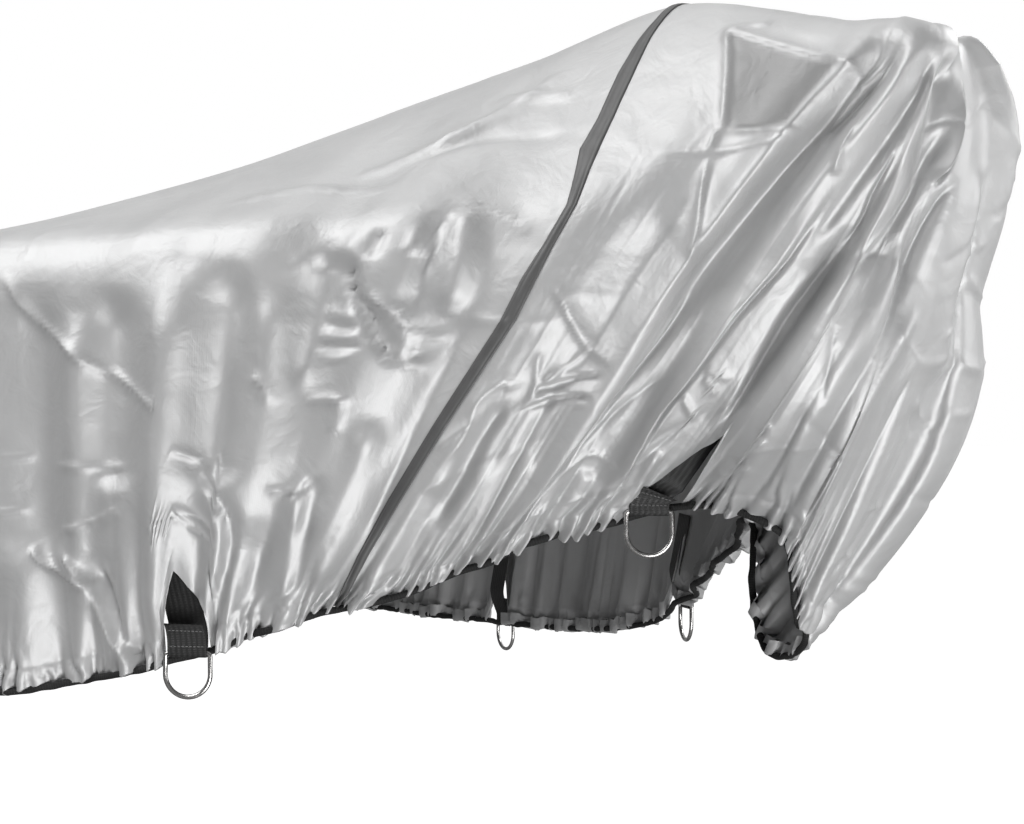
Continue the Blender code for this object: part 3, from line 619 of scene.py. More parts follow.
def along(q, v):
    """The sheet's way round the cover and its way down, each for one step of q or v."""
    step = 1e-3
    q, v = paired(q, v)
    high, low = np.minimum(q + step, STERN), np.maximum(q - step, -STERN)
    round_it = (smooth_sheet(high, v) - smooth_sheet(low, v)) / (high - low)[..., None]
    top = np.maximum(v - step, 0)
    down_it = (smooth_sheet(q, v + step) - smooth_sheet(q, top)) / (v + step - top)[..., None]
    return round_it, down_it


def outward(q, v):
    """The sheet's normals, level with the centre line where they stand on it."""
    round_it, down_it = along(q, v)
    normals = unit(np.cross(round_it, down_it))
    on_centre = np.abs(smooth_sheet(q, v)[..., 1]) < 1e-7
    normals[..., 1] = np.where(on_centre, 0.0, normals[..., 1])
    return unit(normals)


def fold_height(q, v):
    """How far the cloth with its main folds, as in the solids, stands out of the smooth sheet."""
    q, v = paired(q, v)
    height = np.zeros_like(q)
    for row in FOLDS:
        at = dict(zip(FOLD_COLUMNS, row))
        marks = np.array([0.0, at["at_edge"], at["at_rail"], at["at_hem"]]) / 1000
        height += np.interp(v, FOLD_PLACES, marks) * hump(q - at["place"], at["half_width"])
    from_bow = np.abs(q)
    aft = np.clip(from_bow - PLAIN_FOLDS_FROM, 0, 1) * np.clip(STERN - from_bow, 0, 1)
    tall = np.interp(v, PLAIN_FOLD_PLACES, (0.0, PLAIN_FOLD_RAIL, PLAIN_FOLD_HEM))
    drift = PLAIN_FOLD_DRIFT * np.sin(PLAIN_FOLD_DRIFT_RATE * q)
    height += aft * tall * np.sin(math.tau * PLAIN_FOLD_TURNS * q + drift)
    belly = WALL_BELLY * rising(from_bow, 0, 3)
    belly = belly + BOW_BELLY * hump(from_bow - BOW_BELLY_PLACE, BOW_BELLY_HALF)
    return height + belly * np.sin(math.pi * np.clip(v - 2, 0, 1))


def cloth_point(q, v, lift=0.0):
    """Points of the cloth with its main folds, and this much off it."""
    return smooth_sheet(q, v) + outward(q, v) * (fold_height(q, v) + lift)[..., None]


def per_metre(q, v, way):
    """How much of q (way 0) or of v (way 1) one metre takes."""
    return 1 / np.linalg.norm(along(q, v)[way], axis=-1)


def seam_wave(v, column):
    """The bow seam's table, read at each v."""
    k = SEAM_WAVE_COLUMNS.index(column)
    return np.interp(v, [row[0] for row in SEAM_WAVE], [row[k] for row in SEAM_WAVE])


def wandered(q, v):
    """Places moved along with the bow seam's wavy line."""
    return q + seam_wave(v, "aft") * hump(q - SEAM_WAVE_PLACE, SEAM_WAVE_HALF)


def notch_rise(q):
    """How much of the wall's height, from the hem up, is open above each strap."""
    rise = np.zeros_like(q)
    for name, place, notch_tall, notch_half in STRAPS:
        notch_half = notch_half * NOTCH_SHARE
        aft = (q - place) / per_metre(place, 3.0, 0)
        sideways = np.abs(aft)
        top = notch_half * NOTCH_TOPS.get(name, 0.0)
        behind = (notch_half - aft) / (notch_half - top)
        before = (notch_half + aft) / (notch_half + top)
        share = np.clip(np.where(aft > top, behind, before), 0, 1)
        share = share + NOTCH_UNEVEN * np.sin(math.pi * share) * noise(aft / 0.012, place, 15)
        peak = NOTCH_SHOULDER + (notch_tall - NOTCH_SHOULDER) * share
        tall = np.interp(sideways, (notch_half, notch_half + NOTCH_STEP), (NOTCH_SHOULDER, 0.0))
        tall = np.where(sideways < notch_half, peak, tall)
        rise = np.maximum(rise, tall * per_metre(place, 2.8, 1))
    return rise


# ---------------------------------------------------------------- its finer relief


def lattice(i, j, seed):
    """A number between 0 and 1 for each whole-number pair."""
    i, j = i.astype(np.int64), j.astype(np.int64)
    n = (i * 374761393 + j * 668265263 + seed * 974634777) & 0x7FFFFFFF
    n = ((n ^ (n >> 13)) * 1274126177) & 0x7FFFFFFF
    return ((n ^ (n >> 16)) & 0xFFFF) / 65535.0


def noise(x, y, seed):
    """Smooth noise between -1 and 1."""
    x, y = paired(x, y)
    i, j = np.floor(x), np.floor(y)
    a, b = eased(x - i), eased(y - j)
    low = lattice(i, j, seed) * (1 - a) + lattice(i + 1, j, seed) * a
    high = lattice(i, j + 1, seed) * (1 - a) + lattice(i + 1, j + 1, seed) * a
    return 2 * (low * (1 - b) + high * b) - 1


def way_lengths(points):
    """How far along its way each point is."""
    return np.concatenate([[0], np.cumsum(np.linalg.norm(np.diff(points, axis=0), axis=1))])


RUN_PLACES = np.arange(-STERN, STERN + 0.001, 0.02)
RUN_LENGTHS = way_lengths(smooth_sheet(RUN_PLACES, 3.0))
RUN_LENGTHS -= np.interp(0.0, RUN_PLACES, RUN_LENGTHS)


def hem_run(q):
    """Metres along the hem from the bow."""
    return np.interp(q, RUN_PLACES, RUN_LENGTHS)


def place_at_run(run):
    """The q at so many metres along the hem."""
    return np.interp(run, RUN_LENGTHS, RUN_PLACES)


def wall_height(q):
    """Metres from the rail to the hem."""
    return np.linalg.norm(smooth_sheet(q, 3.0) - smooth_sheet(q, 2.0), axis=-1)


def uneven(run, name):
    """What wanders along the hem, by its name in the table."""
    row = dict(zip(UNEVEN_COLUMNS, UNEVEN[name]))
    return row["middle"] + row["swing"] * noise(run / row["metres"], row["row"], row["seed"])


def pleat_turns(run):
    """How many pleats from the bow."""
    return run / PLEAT_PITCH + uneven(run, "pleat_drift")


def pleats(run, up):
    """The hem's small pleats: rounded outside, pinched between, uneven, fading upward."""
    turn = pleat_turns(run) + 0.35 * noise(run / 0.019, up / 0.02, 12)
    puff = 1.9 * np.abs(np.sin(math.pi * turn)) - 1
    strong = uneven(run, "pleat_strength")
    reach = PLEAT_FADE * uneven(run, "pleat_reach")
    return PLEAT_OUT * puff * strong * np.exp(-((up / reach) ** 1.4))


def gathers(run, up):
    """The wider folds that run up from the pleats."""
    lean = uneven(run, "gather_lean") * up
    turn = run / GATHER_PITCH + uneven(run, "gather_drift") + lean
    wave = 1.6 * np.abs(np.sin(math.pi * turn)) - 0.8
    strong = uneven(run, "gather_strength")
    reach = GATHER_FADE * uneven(run, "gather_reach")
    small = GATHER_OUT * wave * strong * np.exp(-((up / reach) ** 1.5))
    turn = run / BROAD_PITCH + uneven(run, "broad_drift")
    broad = BROAD_OUT * np.sin(math.tau * turn) * np.exp(-((up / BROAD_FADE) ** 1.6))
    return small + broad


def casing(run, up):
    """The channel that holds the elastic, with its row of stitches."""
    swell = CASING_OUT * np.sin(math.pi * np.clip(up / CASING_UP, 0, 1))
    return swell - GROOVE_DEEP * hump(up - uneven(run, "groove_up"), GROOVE_HALF)


def crumple(points, seed, grain):
    """A net of sharp, low creases."""
    x = points[..., 0] * 0.8 + points[..., 1]
    y = points[..., 2] + 0.35 * points[..., 1]
    warp_x = x / grain + 0.6 * noise(x / grain * 0.7, y / grain * 0.7, seed + 5)
    warp_y = y / grain + 0.6 * noise(x / grain * 0.7, y / grain * 0.7, seed + 6)
    ridges = 1 - np.abs(noise(warp_x, warp_y, seed)) * 2
    finer = 1 - np.abs(noise(warp_x * 2.1 + 9, warp_y * 2.1, seed + 1)) * 2
    return 0.7 * ridges + 0.3 * finer


def smooth_way(way, count):
    """A smooth curve of that many points through the way's points."""
    marks = np.array(way, float)
    marks = np.concatenate([[2 * marks[0] - marks[1]], marks, [2 * marks[-1] - marks[-2]]])
    spans = len(marks) - 3
    t = np.linspace(0, spans, count)
    k = np.minimum(t.astype(int), spans - 1)
    t = (t - k)[:, None]
    a, b, c, d = marks[k], marks[k + 1], marks[k + 2], marks[k + 3]
    square, cube = 2 * a - 5 * b + 4 * c - d, 3 * b - a - 3 * c + d
    return 0.5 * (2 * b + (c - a) * t + square * t**2 + cube * t**3)


def nearest(spots, route, facing):
    """From each spot to the route: how far, on which side (1 left, -1 right), and its share along."""
    best = np.full(len(spots), np.inf)
    sign = np.ones(len(spots))
    share = np.zeros(len(spots))
    steps = len(route) - 1
    for k in range(steps):
        start, way = route[k], route[k + 1] - route[k]
        rel = spots - start
        t = np.clip(rel @ way / max(way @ way, 1e-12), 0, 1)
        off = rel - t[:, None] * way
        gap = np.linalg.norm(off, axis=1)
        closer = gap < best
        best = np.where(closer, gap, best)
        side = off @ np.cross(facing[k], way)
        sign = np.where(closer, np.where(side < 0, -1.0, 1.0), sign)
        share = np.where(closer, (k + t) / steps, share)
    return best, sign, share


def crease_relief(points, creases):
    """The height at each point of the smooth sheet from every crease and lap near it."""
    flat = points.reshape(-1, 3)
    height = np.zeros(len(flat))
    for row in creases:
        at = dict(zip(CREASE_COLUMNS, row))
        way_q, way_v = smooth_way(at["way"], 6 * len(at["way"])).T
        route = smooth_sheet(way_q, way_v)
        left, right = at["left"] / 1000, at["right"] / 1000
        reach = CREASE_REACH * max(left, right)
        near = np.all((flat > route.min(0) - reach) & (flat < route.max(0) + reach), axis=1)
        picked = np.nonzero(near)[0]
        if not len(picked):
            continue
        spots = flat[picked]
        best, sign, share = nearest(spots, route, outward(way_q, way_v))
        ends = eased(rising(share, 0, CREASE_END) * rising(1 - share, 0, CREASE_END))
        middle = np.clip(np.abs(way_q), 0.5, 7.0)
        fan = per_metre(middle, 2.0, 0) / per_metre(middle, way_v, 0)
        fan = np.where(way_q > 0, np.clip(fan, PEAK_NARROW, 1.0), 1.0)
        narrow = np.interp(share, np.linspace(0, 1, len(fan)), fan)
        if at["shape"] == "fold" and left > WIDE_FOLD:
            narrow = narrow * (0.7 + 0.45 * np.sin(math.pi * share))
            uneven = noise(spots[:, 0] * 11 + spots[:, 1] * 9, spots[:, 2] * 14, 17)
            narrow = narrow * (1 + 0.3 * uneven)
        gap = best / (np.where(sign > 0, left, right) * narrow)
        crisp = np.exp(-(gap**1.25)) * (gap < CREASE_REACH)
        shape = hump(gap, 1) if at["shape"] == "fold" else crisp
        if at["shape"] == "lap":
            foot = -sign * best / (right * narrow)
            shape -= LAP_GROOVE * hump(foot - LAP_FOOT, 1)
        height[picked] += CREASE_GAIN * at["height"] / 1000 * shape * ends * narrow**0.7
    return height.reshape(points.shape[:-1])


def peak_fade(q, v):
    """The creases die away where they all meet at the peak."""
    near = np.clip(1.5 - np.abs(q - PEAK_PLACE) / PEAK_FADE_HALF, 0, 1)
    return 1 - near * eased((PEAK_FADE_FROM - v) / (PEAK_FADE_FROM - PEAK_FADE_TO))


def peak_roll(q, v):
    """1 on the roll over the peak and 0 away from it."""
    there = (0, 1, 1, 0)
    return eased(np.interp(q, PEAK_ROLL_PLACES, there) * np.interp(v, PEAK_ROLL_DOWNS, there))


def painted_shade_share(q, v):
    """1 in the square darkened with painted shade and 0 outside it."""
    inside = np.full_like(q, np.inf)
    for k, (q0, v0) in enumerate(SHADED_SQUARE):
        q1, v1 = SHADED_SQUARE[(k + 1) % len(SHADED_SQUARE)]
        way_q, way_v = (q1 - q0) / 4, v1 - v0
        off = ((v - v0) * way_q - (q - q0) / 4 * way_v) / math.hypot(way_q, way_v)
        inside = np.minimum(inside, -off)
    return np.clip(inside / SHADED_SQUARE_SOFT, 0, 1)


def random_creases(seed, count, places, downs):
    """Packing creases: short, low, mostly level or slanting."""
    draw = np.random.RandomState(seed)
    made = []
    for _ in range(count):
        q = draw.uniform(*places)
        v = draw.uniform(*downs)
        long_q = draw.uniform(*PACKING_LONG) * per_metre(q, v, 0) * draw.choice([-1, 1])
        long_v = draw.uniform(-PACKING_SLANT, PACKING_SLANT) * per_metre(q, v, 1)
        bend = draw.uniform(-PACKING_BEND, PACKING_BEND) * per_metre(q, v, 1)
        way = ((q, v), (q + long_q / 2, v + long_v / 2 + bend), (q + long_q, v + long_v))
        wide = draw.uniform(*PACKING_HALF)
        height = draw.choice([-1, 1]) * draw.uniform(*PACKING_OUT)
        made.append(crease(height, wide, wide, *way))
    return made


def stern_fade(q):
    """The uneven relief ends where the two sides meet at the stern."""
    return eased((STERN - np.abs(q)) / STERN_FADE)


def relief(q, v, creases):
    """All that the shown cloth has over the main folds, in metres along its normals."""
    points = smooth_sheet(q, v)
    x, y, z = np.moveaxis(points, -1, 0)
    from_bow = np.abs(q)
    run = hem_run(q)
    up = (3 - v) * wall_height(q)
    wall = rising(v, 1.3, 2.0)
    height = pleats(run, up) + (gathers(run, up) + casing(run, up)) * wall
    height += crease_relief(points, creases) * peak_fade(q, v)
    long_folds = noise(q * 3.1 + 0.4 * noise(q, v * 2, 43), v * 1.1, 41)
    height += LONG_FOLD_OUT * long_folds * rising(v, 1.9, 2.4) * rising(from_bow, 0, 1)
    height -= FAR_LOBE_DROP * hump(q - FAR_LOBE_PLACE, FAR_LOBE_HALF) * hump(v - 1, FAR_LOBE_DOWN)
    height += peak_roll(q, v) * (PEAK_ROLL - fold_height(q, v))
    fine_folds = 1 - 2 * np.abs(noise(q * 9.0, v * 1.6, 42))
    height += FINE_FOLD_OUT * fine_folds * wall * rising(from_bow, 0, 2)
    patch = np.clip(0.45 + 0.55 * noise(x * 4.0, z * 5.0 + y, 44), 0.1, 1)
    height += CRUMPLE_OUT * crumple(points, 51, CRUMPLE_GRAIN) * patch * rising(v, 0, 0.5)
    sag = noise(x * 2.6, np.abs(y) * 3.1, 45)
    height += SAG_OUT * sag * rising(from_bow, 7, 8) * rising(v, 0, 0.3)
    return height * stern_fade(q)


# ---------------------------------------------------------------- meshes


def add_mesh(name, points, faces, finishes, uv=None, smooth=True):
    """An object of these points and faces, with a UV for each point."""
    mesh = bpy.data.meshes.new(name)
    mesh.from_pydata(np.asarray(points).tolist(), [], faces)
    mesh.polygons.foreach_set("use_smooth", [smooth] * len(mesh.polygons))
    for finish in finishes:
        mesh.materials.append(finish)
    if uv is not None:
        layer = mesh.uv_layers.new(name="UVMap")
        loops = np.empty(len(mesh.loops), np.int32)
        mesh.loops.foreach_get("vertex_index", loops)
        layer.data.foreach_set("uv", np.asarray(uv, np.float32)[loops].ravel())
    made = bpy.data.objects.new(name, mesh)
    bpy.context.scene.collection.objects.link(made)
    return made


def weld(piece):
    """Join the points that lie within this gap of each other."""
    gap = 2e-6
    shape = bmesh.new()
    shape.from_mesh(piece.data)
    bmesh.ops.remove_doubles(shape, verts=shape.verts, dist=gap)
    shape.to_mesh(piece.data)
    shape.free()


def add_grids(name, grids, finish):
    """One mesh of several grids of points, each with its UVs."""
    faces, start = [], 0
    for spots, _ in grids:
        ids = start + np.arange(spots[..., 0].size).reshape(spots.shape[:2])
        corners = np.stack([ids[:-1, :-1], ids[1:, :-1], ids[1:, 1:], ids[:-1, 1:]], -1)
        faces += corners.reshape(-1, 4).tolist()
        start += ids.size
    points = np.concatenate([spots.reshape(-1, 3) for spots, _ in grids])
    uvs = np.concatenate([uv.reshape(-1, 2) for _, uv in grids])
    return add_mesh(name, points, faces, [finish], uvs)


def tube_faces(count, sides, start=0, closed=False):
    """Faces between rings of points; a closed tube's last ring meets its first."""
    ids = start + np.arange(count * sides).reshape(count, sides)
    ahead = np.roll(ids, -1, axis=0)
    if not closed:
        ids, ahead = ids[:-1], ahead[:-1]
    corners = np.stack([ids, ahead, np.roll(ahead, -1, 1), np.roll(ids, -1, 1)], -1)
    return corners.reshape(-1, 4).tolist()


def row_marks(panel):
    """The v of each row: even over the top and the slope, closer together towards the hem."""
    top = np.linspace(0, 1, panel["rows_top"], endpoint=False)
    slope = np.linspace(1, 2, panel["rows_slope"], endpoint=False)
    t = np.linspace(0, 1, panel["rows_wall"])
    wall = 3 - (1 - t) ** WALL_ROWS_POWER
    return np.concatenate([top, slope, wall])


def panel_sheet(panel, side):
    """Places of one side of a panel, evenly spaced along the hem, ending under its seam bands."""
    first, last = panel["first"], panel["last"]
    from_run, to_run = hem_run(first), hem_run(last)
    step = panel["port_step" if side < 0 else "starboard_step"]
    count = round((to_run - from_run) / step)
    columns = place_at_run(np.linspace(from_run, to_run, count))
    columns[0], columns[-1] = first, last
    v = row_marks(panel)
    q = side * np.repeat(columns[:, None], len(v), axis=1)
    if first > 0:
        q[0] = side * (first + SEAM_TUCK * per_metre(first, v, 0))
    if last < STERN:
        q[-1] = side * (last - SEAM_TUCK * per_metre(last, v, 0))
    return q, np.repeat(v[None], count, axis=0)


def dressed_sheet(q, v, creases):
    """Points of the shown cloth, with its hem turned in round the elastic, and their UVs in metres."""
    q = wandered(q, v)
    run = hem_run(q)
    edge = 0.5 * np.abs(np.sin(math.pi * pleat_turns(run)))
    edge = edge + uneven(run, "edge_fine") + uneven(run, "edge_broad")
    edge = EDGE_WAVE * (0.9 + stern_fade(q) * edge)
    rise = notch_rise(q)
    away = 1 - rising(rise, 0, 0.01)
    lower = rising(v, 2.6, 3.0) ** 2 * edge * away / wall_height(q)
    down = np.where(v > 2, 2 + (v - 2) * (1 - rise), v) + lower
    height = relief(q, np.minimum(down, 3.0), creases)
    curl = rising(rise, 0, 0.02) * rising(v, 2.9, 3.0) ** 2
    height += NOTCH_CURL * curl * uneven(run, "notch_curl") * stern_fade(q)
    points = cloth_point(q, down, height)
    out = outward(q, down)
    fall = unit(along(q, down)[1])
    uv = np.stack([run, -np.where(v > 2, (v - 2) * UV_WALL + 2 * UV_TOP, v * UV_TOP)], -1)
    turned = [points[:, -1] - out[:, -1] * into - fall[:, -1] * up for into, up in HEM_TURN]
    turned_uv = [uv[:, -1] + np.array([0.0, UV_HEM_STEP * (k + 1)]) for k in range(len(HEM_TURN))]
    points = np.concatenate([points, np.stack(turned, 1)], axis=1)
    uv = np.concatenate([uv, np.stack(turned_uv, 1)], axis=1)
    # how much of the painted shade on the square near the top edge each point takes
    painted_shade = np.pad(painted_shade_share(q, v), ((0, 0), (0, len(HEM_TURN))))
    return points, uv, painted_shade


def build_panel(row, creases, finish):
    """A panel of the shown cloth. The bow's goes round the bow, the others have two sides."""
    panel = dict(zip(PANEL_COLUMNS, row))
    port, starboard = panel_sheet(panel, -1), panel_sheet(panel, 1)
    if panel["first"] == 0:
        halves = [[np.concatenate([ours[:0:-1], theirs]) for ours, theirs in zip(port, starboard)]]
    else:
        halves = [(port[0][::-1], port[1][::-1]), starboard]
    sheets = [dressed_sheet(q, v, creases) for q, v in halves]
    name = "cloth_" + panel["name"].split("_")[1]
    made = add_grids(name, [(points, uv) for points, uv, _ in sheets], finish)
    # the painted shade on the square, kept as a value at each point for the cloth's material
    layer = made.data.attributes.new("painted_shade", "FLOAT", "POINT")
    layer.data.foreach_set("value", np.concatenate([painted_shade.ravel() for _, _, painted_shade in sheets]))
    weld(made)
    return made


def build_band(name, place, creases, finish):
    """The doubled band along a seam, with a groove where each row of stitches lies."""
    v = np.append(np.linspace(0, 3, BAND_ROWS), 3 + BAND_PAST_HEM)
    scale = per_metre(place, v, 0)
    across = np.array([off for off, _ in BAND_PROFILE])[:, None]
    lift = np.array([lift for _, lift in BAND_PROFILE])[:, None]
    down = np.repeat(v[None], len(across), axis=0)
    on_cloth = np.minimum(down, 3.0)
    grids = []
    for side in (-1, 1):
        wide = seam_wave(v, "width") if place * side == SEAM_WAVE_PLACE else 1.0
        q = wandered(side * (place + across * wide * scale), down)
        spots = cloth_point(q, on_cloth, relief(q, on_cloth, creases) + lift)
        spots[:, -1] -= BAND_TURNED_IN * outward(q[:, -1], 3.0)
        uv = np.stack([np.repeat(across, len(v), 1), down * BAND_UV], -1)
        grids.append((spots[::side], uv[::side]))
    made = add_grids(name, grids, finish)
    weld(made)
    return made


def loop_ahead(points):
    """The way ahead at each point of a closed loop."""
    return unit(np.roll(points, -1, axis=0) - np.roll(points, 1, axis=0))


def tube_mesh(name, route, radius, sides, finish, up_hint):
    """A closed loop of wire or cord, with its length and turn as UVs."""
    count = len(route)
    ahead = loop_ahead(route)
    across = unit(np.cross(ahead, up_hint))
    upward = np.cross(across, ahead)
    turns = math.tau * np.arange(sides) / sides
    radius = np.broadcast_to(radius, (count,))[:, None, None]
    rings = (
        route[:, None]
        + radius * np.cos(turns)[None, :, None] * across[:, None]
        + radius * np.sin(turns)[None, :, None] * upward[:, None]
    )
    uv = np.stack(np.broadcast_arrays(way_lengths(route)[:, None], np.arange(sides) / sides), -1)
    faces = tube_faces(count, sides, closed=True)
    return add_mesh(name, rings.reshape(-1, 3), faces, [finish], uv.reshape(-1, 2))


def build_cord(finish):
    """The elastic: a braided cord just inside and below the cloth's edge, a little wavy."""
    length = 2 * hem_run(STERN)
    run = np.arange(-hem_run(STERN), hem_run(STERN), length / round(length / CORD_STEP))
    places = np.clip(place_at_run(run), -STERN, STERN)
    hem = cloth_point(places, 3.0)
    out = outward(places, 3.0)
    below = unit(np.cross(out, loop_ahead(hem)))
    below *= np.sign(np.sum(below * along(places, 3.0)[1], axis=-1, keepdims=True))
    wave = uneven(run, "cord_wave")[:, None]
    route = hem + below * (CORD_BELOW + wave) - out * (CORD_INSIDE + wave)
    radius = CORD_RADIUS * uneven(run, "cord_width")
    return tube_mesh("elastic_cord", route, radius, CORD_SIDES, finish, out)


def hanging_frame(place):
    """Where a ring hangs, clear of the folds beside it: a point, and its ways across, down and out."""
    out = outward(place, 3.0)
    out[2] = 0.0
    out = unit(out)
    down = np.array([0.0, 0.0, -1.0])
    beside = place + np.linspace(-1, 1, 9) * (RING_HALF + RING_WIRE) * per_metre(place, 3.0, 0)
    proud = fold_height(beside, 3.0).max() - fold_height(place, 3.0)
    return cloth_point(place, 3.0, proud), np.cross(out, down), down, out


def strap_point(place, below, off):
    """Middle of the webbing, and its way across, at each (below, off) in metres."""
    v = np.minimum(3.0 + below * per_metre(place, 2.9, 1), 3.0)
    hem, across, down, out = hanging_frame(place)
    on_cloth = cloth_point(place, v) + outward(place, v) * off[:, None]
    hanging = hem + down * below[:, None] + out * off[:, None]
    lean = STRAP_LEANS.get(place, STRAP_LEAN) * np.clip(-below / STRAP_LEAN_UP, 0, 1)
    on_cloth = on_cloth - across * lean[:, None]
    wall_down = unit(along(place, v)[1])
    wall_across = np.cross(outward(place, v), wall_down)
    share = np.clip(1 + (below + 2 * RING_WIRE) / NOTCH_SHOULDER, 0, 1)[:, None]
    return on_cloth * (1 - share) + hanging * share, unit(wall_across * (1 - share) + across * share)


def build_strap(name, place, finish, thread):
    """Webbing from inside the wall down through the notch, round the ring and back, sewn across."""
    path = smooth_way(np.array(STRAP_PATH) / 1000, STRAP_ROWS)
    heading = unit(np.gradient(path, axis=0))
    sideways = np.stack([-heading[:, 1], heading[:, 0]], -1)
    middle, breadth = strap_point(place, path[:, 0], path[:, 1])
    face, _ = strap_point(place, *(path + sideways * 1e-3).T)
    half_out = unit(face - middle) * STRAP_THICK / 2
    half_across = breadth * STRAP_WIDTH / 2
    outline = list(STRAP_RIM) + [(a, -b) for a, b in reversed(STRAP_RIM)]
    rings = np.stack([middle + half_across * a + half_out * b for a, b in outline], 1)
    sides = len(outline)
    faces = tube_faces(STRAP_ROWS, sides)
    last = STRAP_ROWS * sides - 1
    faces += [list(range(sides)), list(range(last, last - sides, -1))]
    widths = np.array([a for a, _ in outline]) * STRAP_WIDTH / 2
    uv = np.stack(np.broadcast_arrays(way_lengths(middle)[:, None], widths), -1)
    points = rings.reshape(-1, 3).tolist()
    uvs = uv.reshape(-1, 2).tolist()
    webbing_faces = len(faces)
    for below in STITCH_ROWS:
        for step in range(STITCH_COUNT):
            across = (step - (STITCH_COUNT - 1) / 2) * STITCH_PITCH
            faces += tube_faces(len(STITCH_SHAPE), STITCH_SIDES, len(points))
            points += stitch_points(place, below, across)
    uvs += [(0.0, 0.0)] * (len(points) - len(uvs))
    made = add_mesh(name, points, faces, [finish, thread], uvs)
    slots = np.zeros(len(faces), np.int32)
    slots[webbing_faces:] = 1
    made.data.polygons.foreach_set("material_index", slots)
    return made


def stitch_points(place, below, across):
    """One stitch: a short rounded bead of thread on the strap's outer layer."""
    outer = np.array(STRAP_PATH[:-5:-1]) / 1000
    off = np.interp(below, outer[:, 0], outer[:, 1]) + STRAP_THICK / 2
    middle, breadth = strap_point(place, np.array([below]), np.array([off]))
    _, _, down, out = hanging_frame(place)
    points = []
    for end, thick in STITCH_SHAPE:
        centre = middle[0] + breadth[0] * (across + end * STITCH_HALF)
        for k in range(STITCH_SIDES):
            turn = math.tau * k / STITCH_SIDES
            way = down * math.cos(turn) + out * math.sin(turn)
            points.append((centre + way * STITCH_RADIUS * thick).tolist())
    return points


def ring_outline():
    """A D seen flat: the bar along the top, then a rounded bow. Sideways and down, in metres."""
    corner = [
        (RING_HALF - RING_CORNER * (1 - math.sin(a)), RING_CORNER * (1 - math.cos(a)))
        for a in np.linspace(0, math.pi / 2, 6)[:-1]
    ]
    deep = RING_DEEP - RING_HALF
    bow = [
        (RING_HALF * math.cos(a), deep + RING_HALF * math.sin(a))
        for a in np.linspace(0, math.pi, 33)
    ]
    mirrored = [(-x, y) for x, y in reversed(corner)]
    return np.array(corner + bow + mirrored)


def build_ring(name, place, finish):
    """A D-ring of wire, hanging in its strap."""
    hem, across, down, out = hanging_frame(place)
    flat = ring_outline()
    route = hem + out * RING_OUT + flat[:, :1] * across + flat[:, 1:] * down
    return tube_mesh(name, route, RING_WIRE, RING_SIDES, finish, out)


# ---------------------------------------------------------------- materials


def put(made, **inputs):
    """Set a node's inputs. In their names here _ stands for a space."""
    for name, value in inputs.items():
        made.inputs[name.replace("_", " ")].default_value = value
    return made


def grey(level, warm=0.0):
    return (level * (1 + warm), level, level * (1 - warm), 1.0)


class Look:
    """A material and the nodes that feed its shader."""

    def __init__(self, name, **inputs):
        self.material = bpy.data.materials.new(name)
        self.material.use_nodes = True
        self.nodes = self.material.node_tree.nodes
        self.links = self.material.node_tree.links
        self.shader = put(self.nodes["Principled BSDF"], **inputs)

    def new(self, kind, **inputs):
        return put(self.nodes.new(kind), **inputs)

    def feed(self, output, name):
        self.links.new(output, self.shader.inputs[name])

    def speckle(self, **inputs):
        """Noise all through the piece."""
        place = self.new("ShaderNodeTexCoord")
        made = self.new("ShaderNodeTexNoise", **inputs)
        self.links.new(place.outputs["Object"], made.inputs["Vector"])
        return made.outputs["Fac"]

    def ribs(self, direction, **inputs):
        """Stripes across one direction of the UVs."""
        place = self.new("ShaderNodeTexCoord")
        made = self.new("ShaderNodeTexWave", **inputs)
        made.bands_direction = direction
        self.links.new(place.outputs["UV"], made.inputs["Vector"])
        return made.outputs["Fac"]

    def joined(self, operation, *outputs):
        made = self.new("ShaderNodeMath")
        made.operation = operation
        for k, output in enumerate(outputs):
            self.links.new(output, made.inputs[k])
        return made.outputs["Value"]

    def spread(self, output, low, high):
        """The output's 0 to 1 taken to low to high."""
        made = self.new("ShaderNodeMapRange", To_Min=low, To_Max=high)
        self.links.new(output, made.inputs["Value"])
        return made.outputs["Result"]

    def mixed(self, factor, low, high):
        """From low to high. The low one is a colour, or the output of a node."""
        made = self.new("ShaderNodeMix")
        made.data_type = "RGBA"
        if isinstance(low, tuple):
            made.inputs["A"].default_value = low
        else:
            self.links.new(low, made.inputs["A"])
        made.inputs["B"].default_value = high
        self.links.new(factor, made.inputs["Factor"])
        return made.outputs["Result"]

    def bump(self, height, strength, distance, under=None):
        made = self.new("ShaderNodeBump", Strength=strength, Distance=distance)
        self.links.new(height, made.inputs["Height"])
        if under:
            self.links.new(under, made.inputs["Normal"])
        return made.outputs["Normal"]


def silver_cloth():
    """Coated polyester: satin silver, fine plain weave, faint crinkle and handling marks, with painted
    shade darkening one square near the bow's top edge.
    """
    look = Look("silver_cloth", Metallic=0.42, Sheen_Weight=0.15, Sheen_Roughness=0.4)
    marks = look.speckle(Scale=9.0, Detail=4.0, Roughness=0.6)
    tint = look.mixed(marks, grey(0.43, -0.006), grey(0.56))
    # painted shade: the square near the bow's top edge is darkened towards grey 0.25
    painted_shade = look.new("ShaderNodeAttribute")
    painted_shade.attribute_name = "painted_shade"
    look.feed(look.mixed(painted_shade.outputs["Fac"], tint, grey(0.25)), "Base Color")
    look.feed(look.spread(marks, 0.46, 0.58), "Roughness")
    slack = look.speckle(Scale=21.0, Detail=3.0, Roughness=0.5, Distortion=0.8)
    crinkle = look.speckle(Scale=70.0, Detail=5.0, Roughness=0.55, Distortion=0.6)
    weave = look.joined("ADD", look.ribs("X", Scale=260.0), look.ribs("Y", Scale=260.0))
    bump = look.bump(slack, 0.5, 0.004)
    bump = look.bump(crinkle, 0.4, 0.0012, bump)
    look.feed(look.bump(weave, 0.06, 0.0003, bump), "Normal")
    return look.material


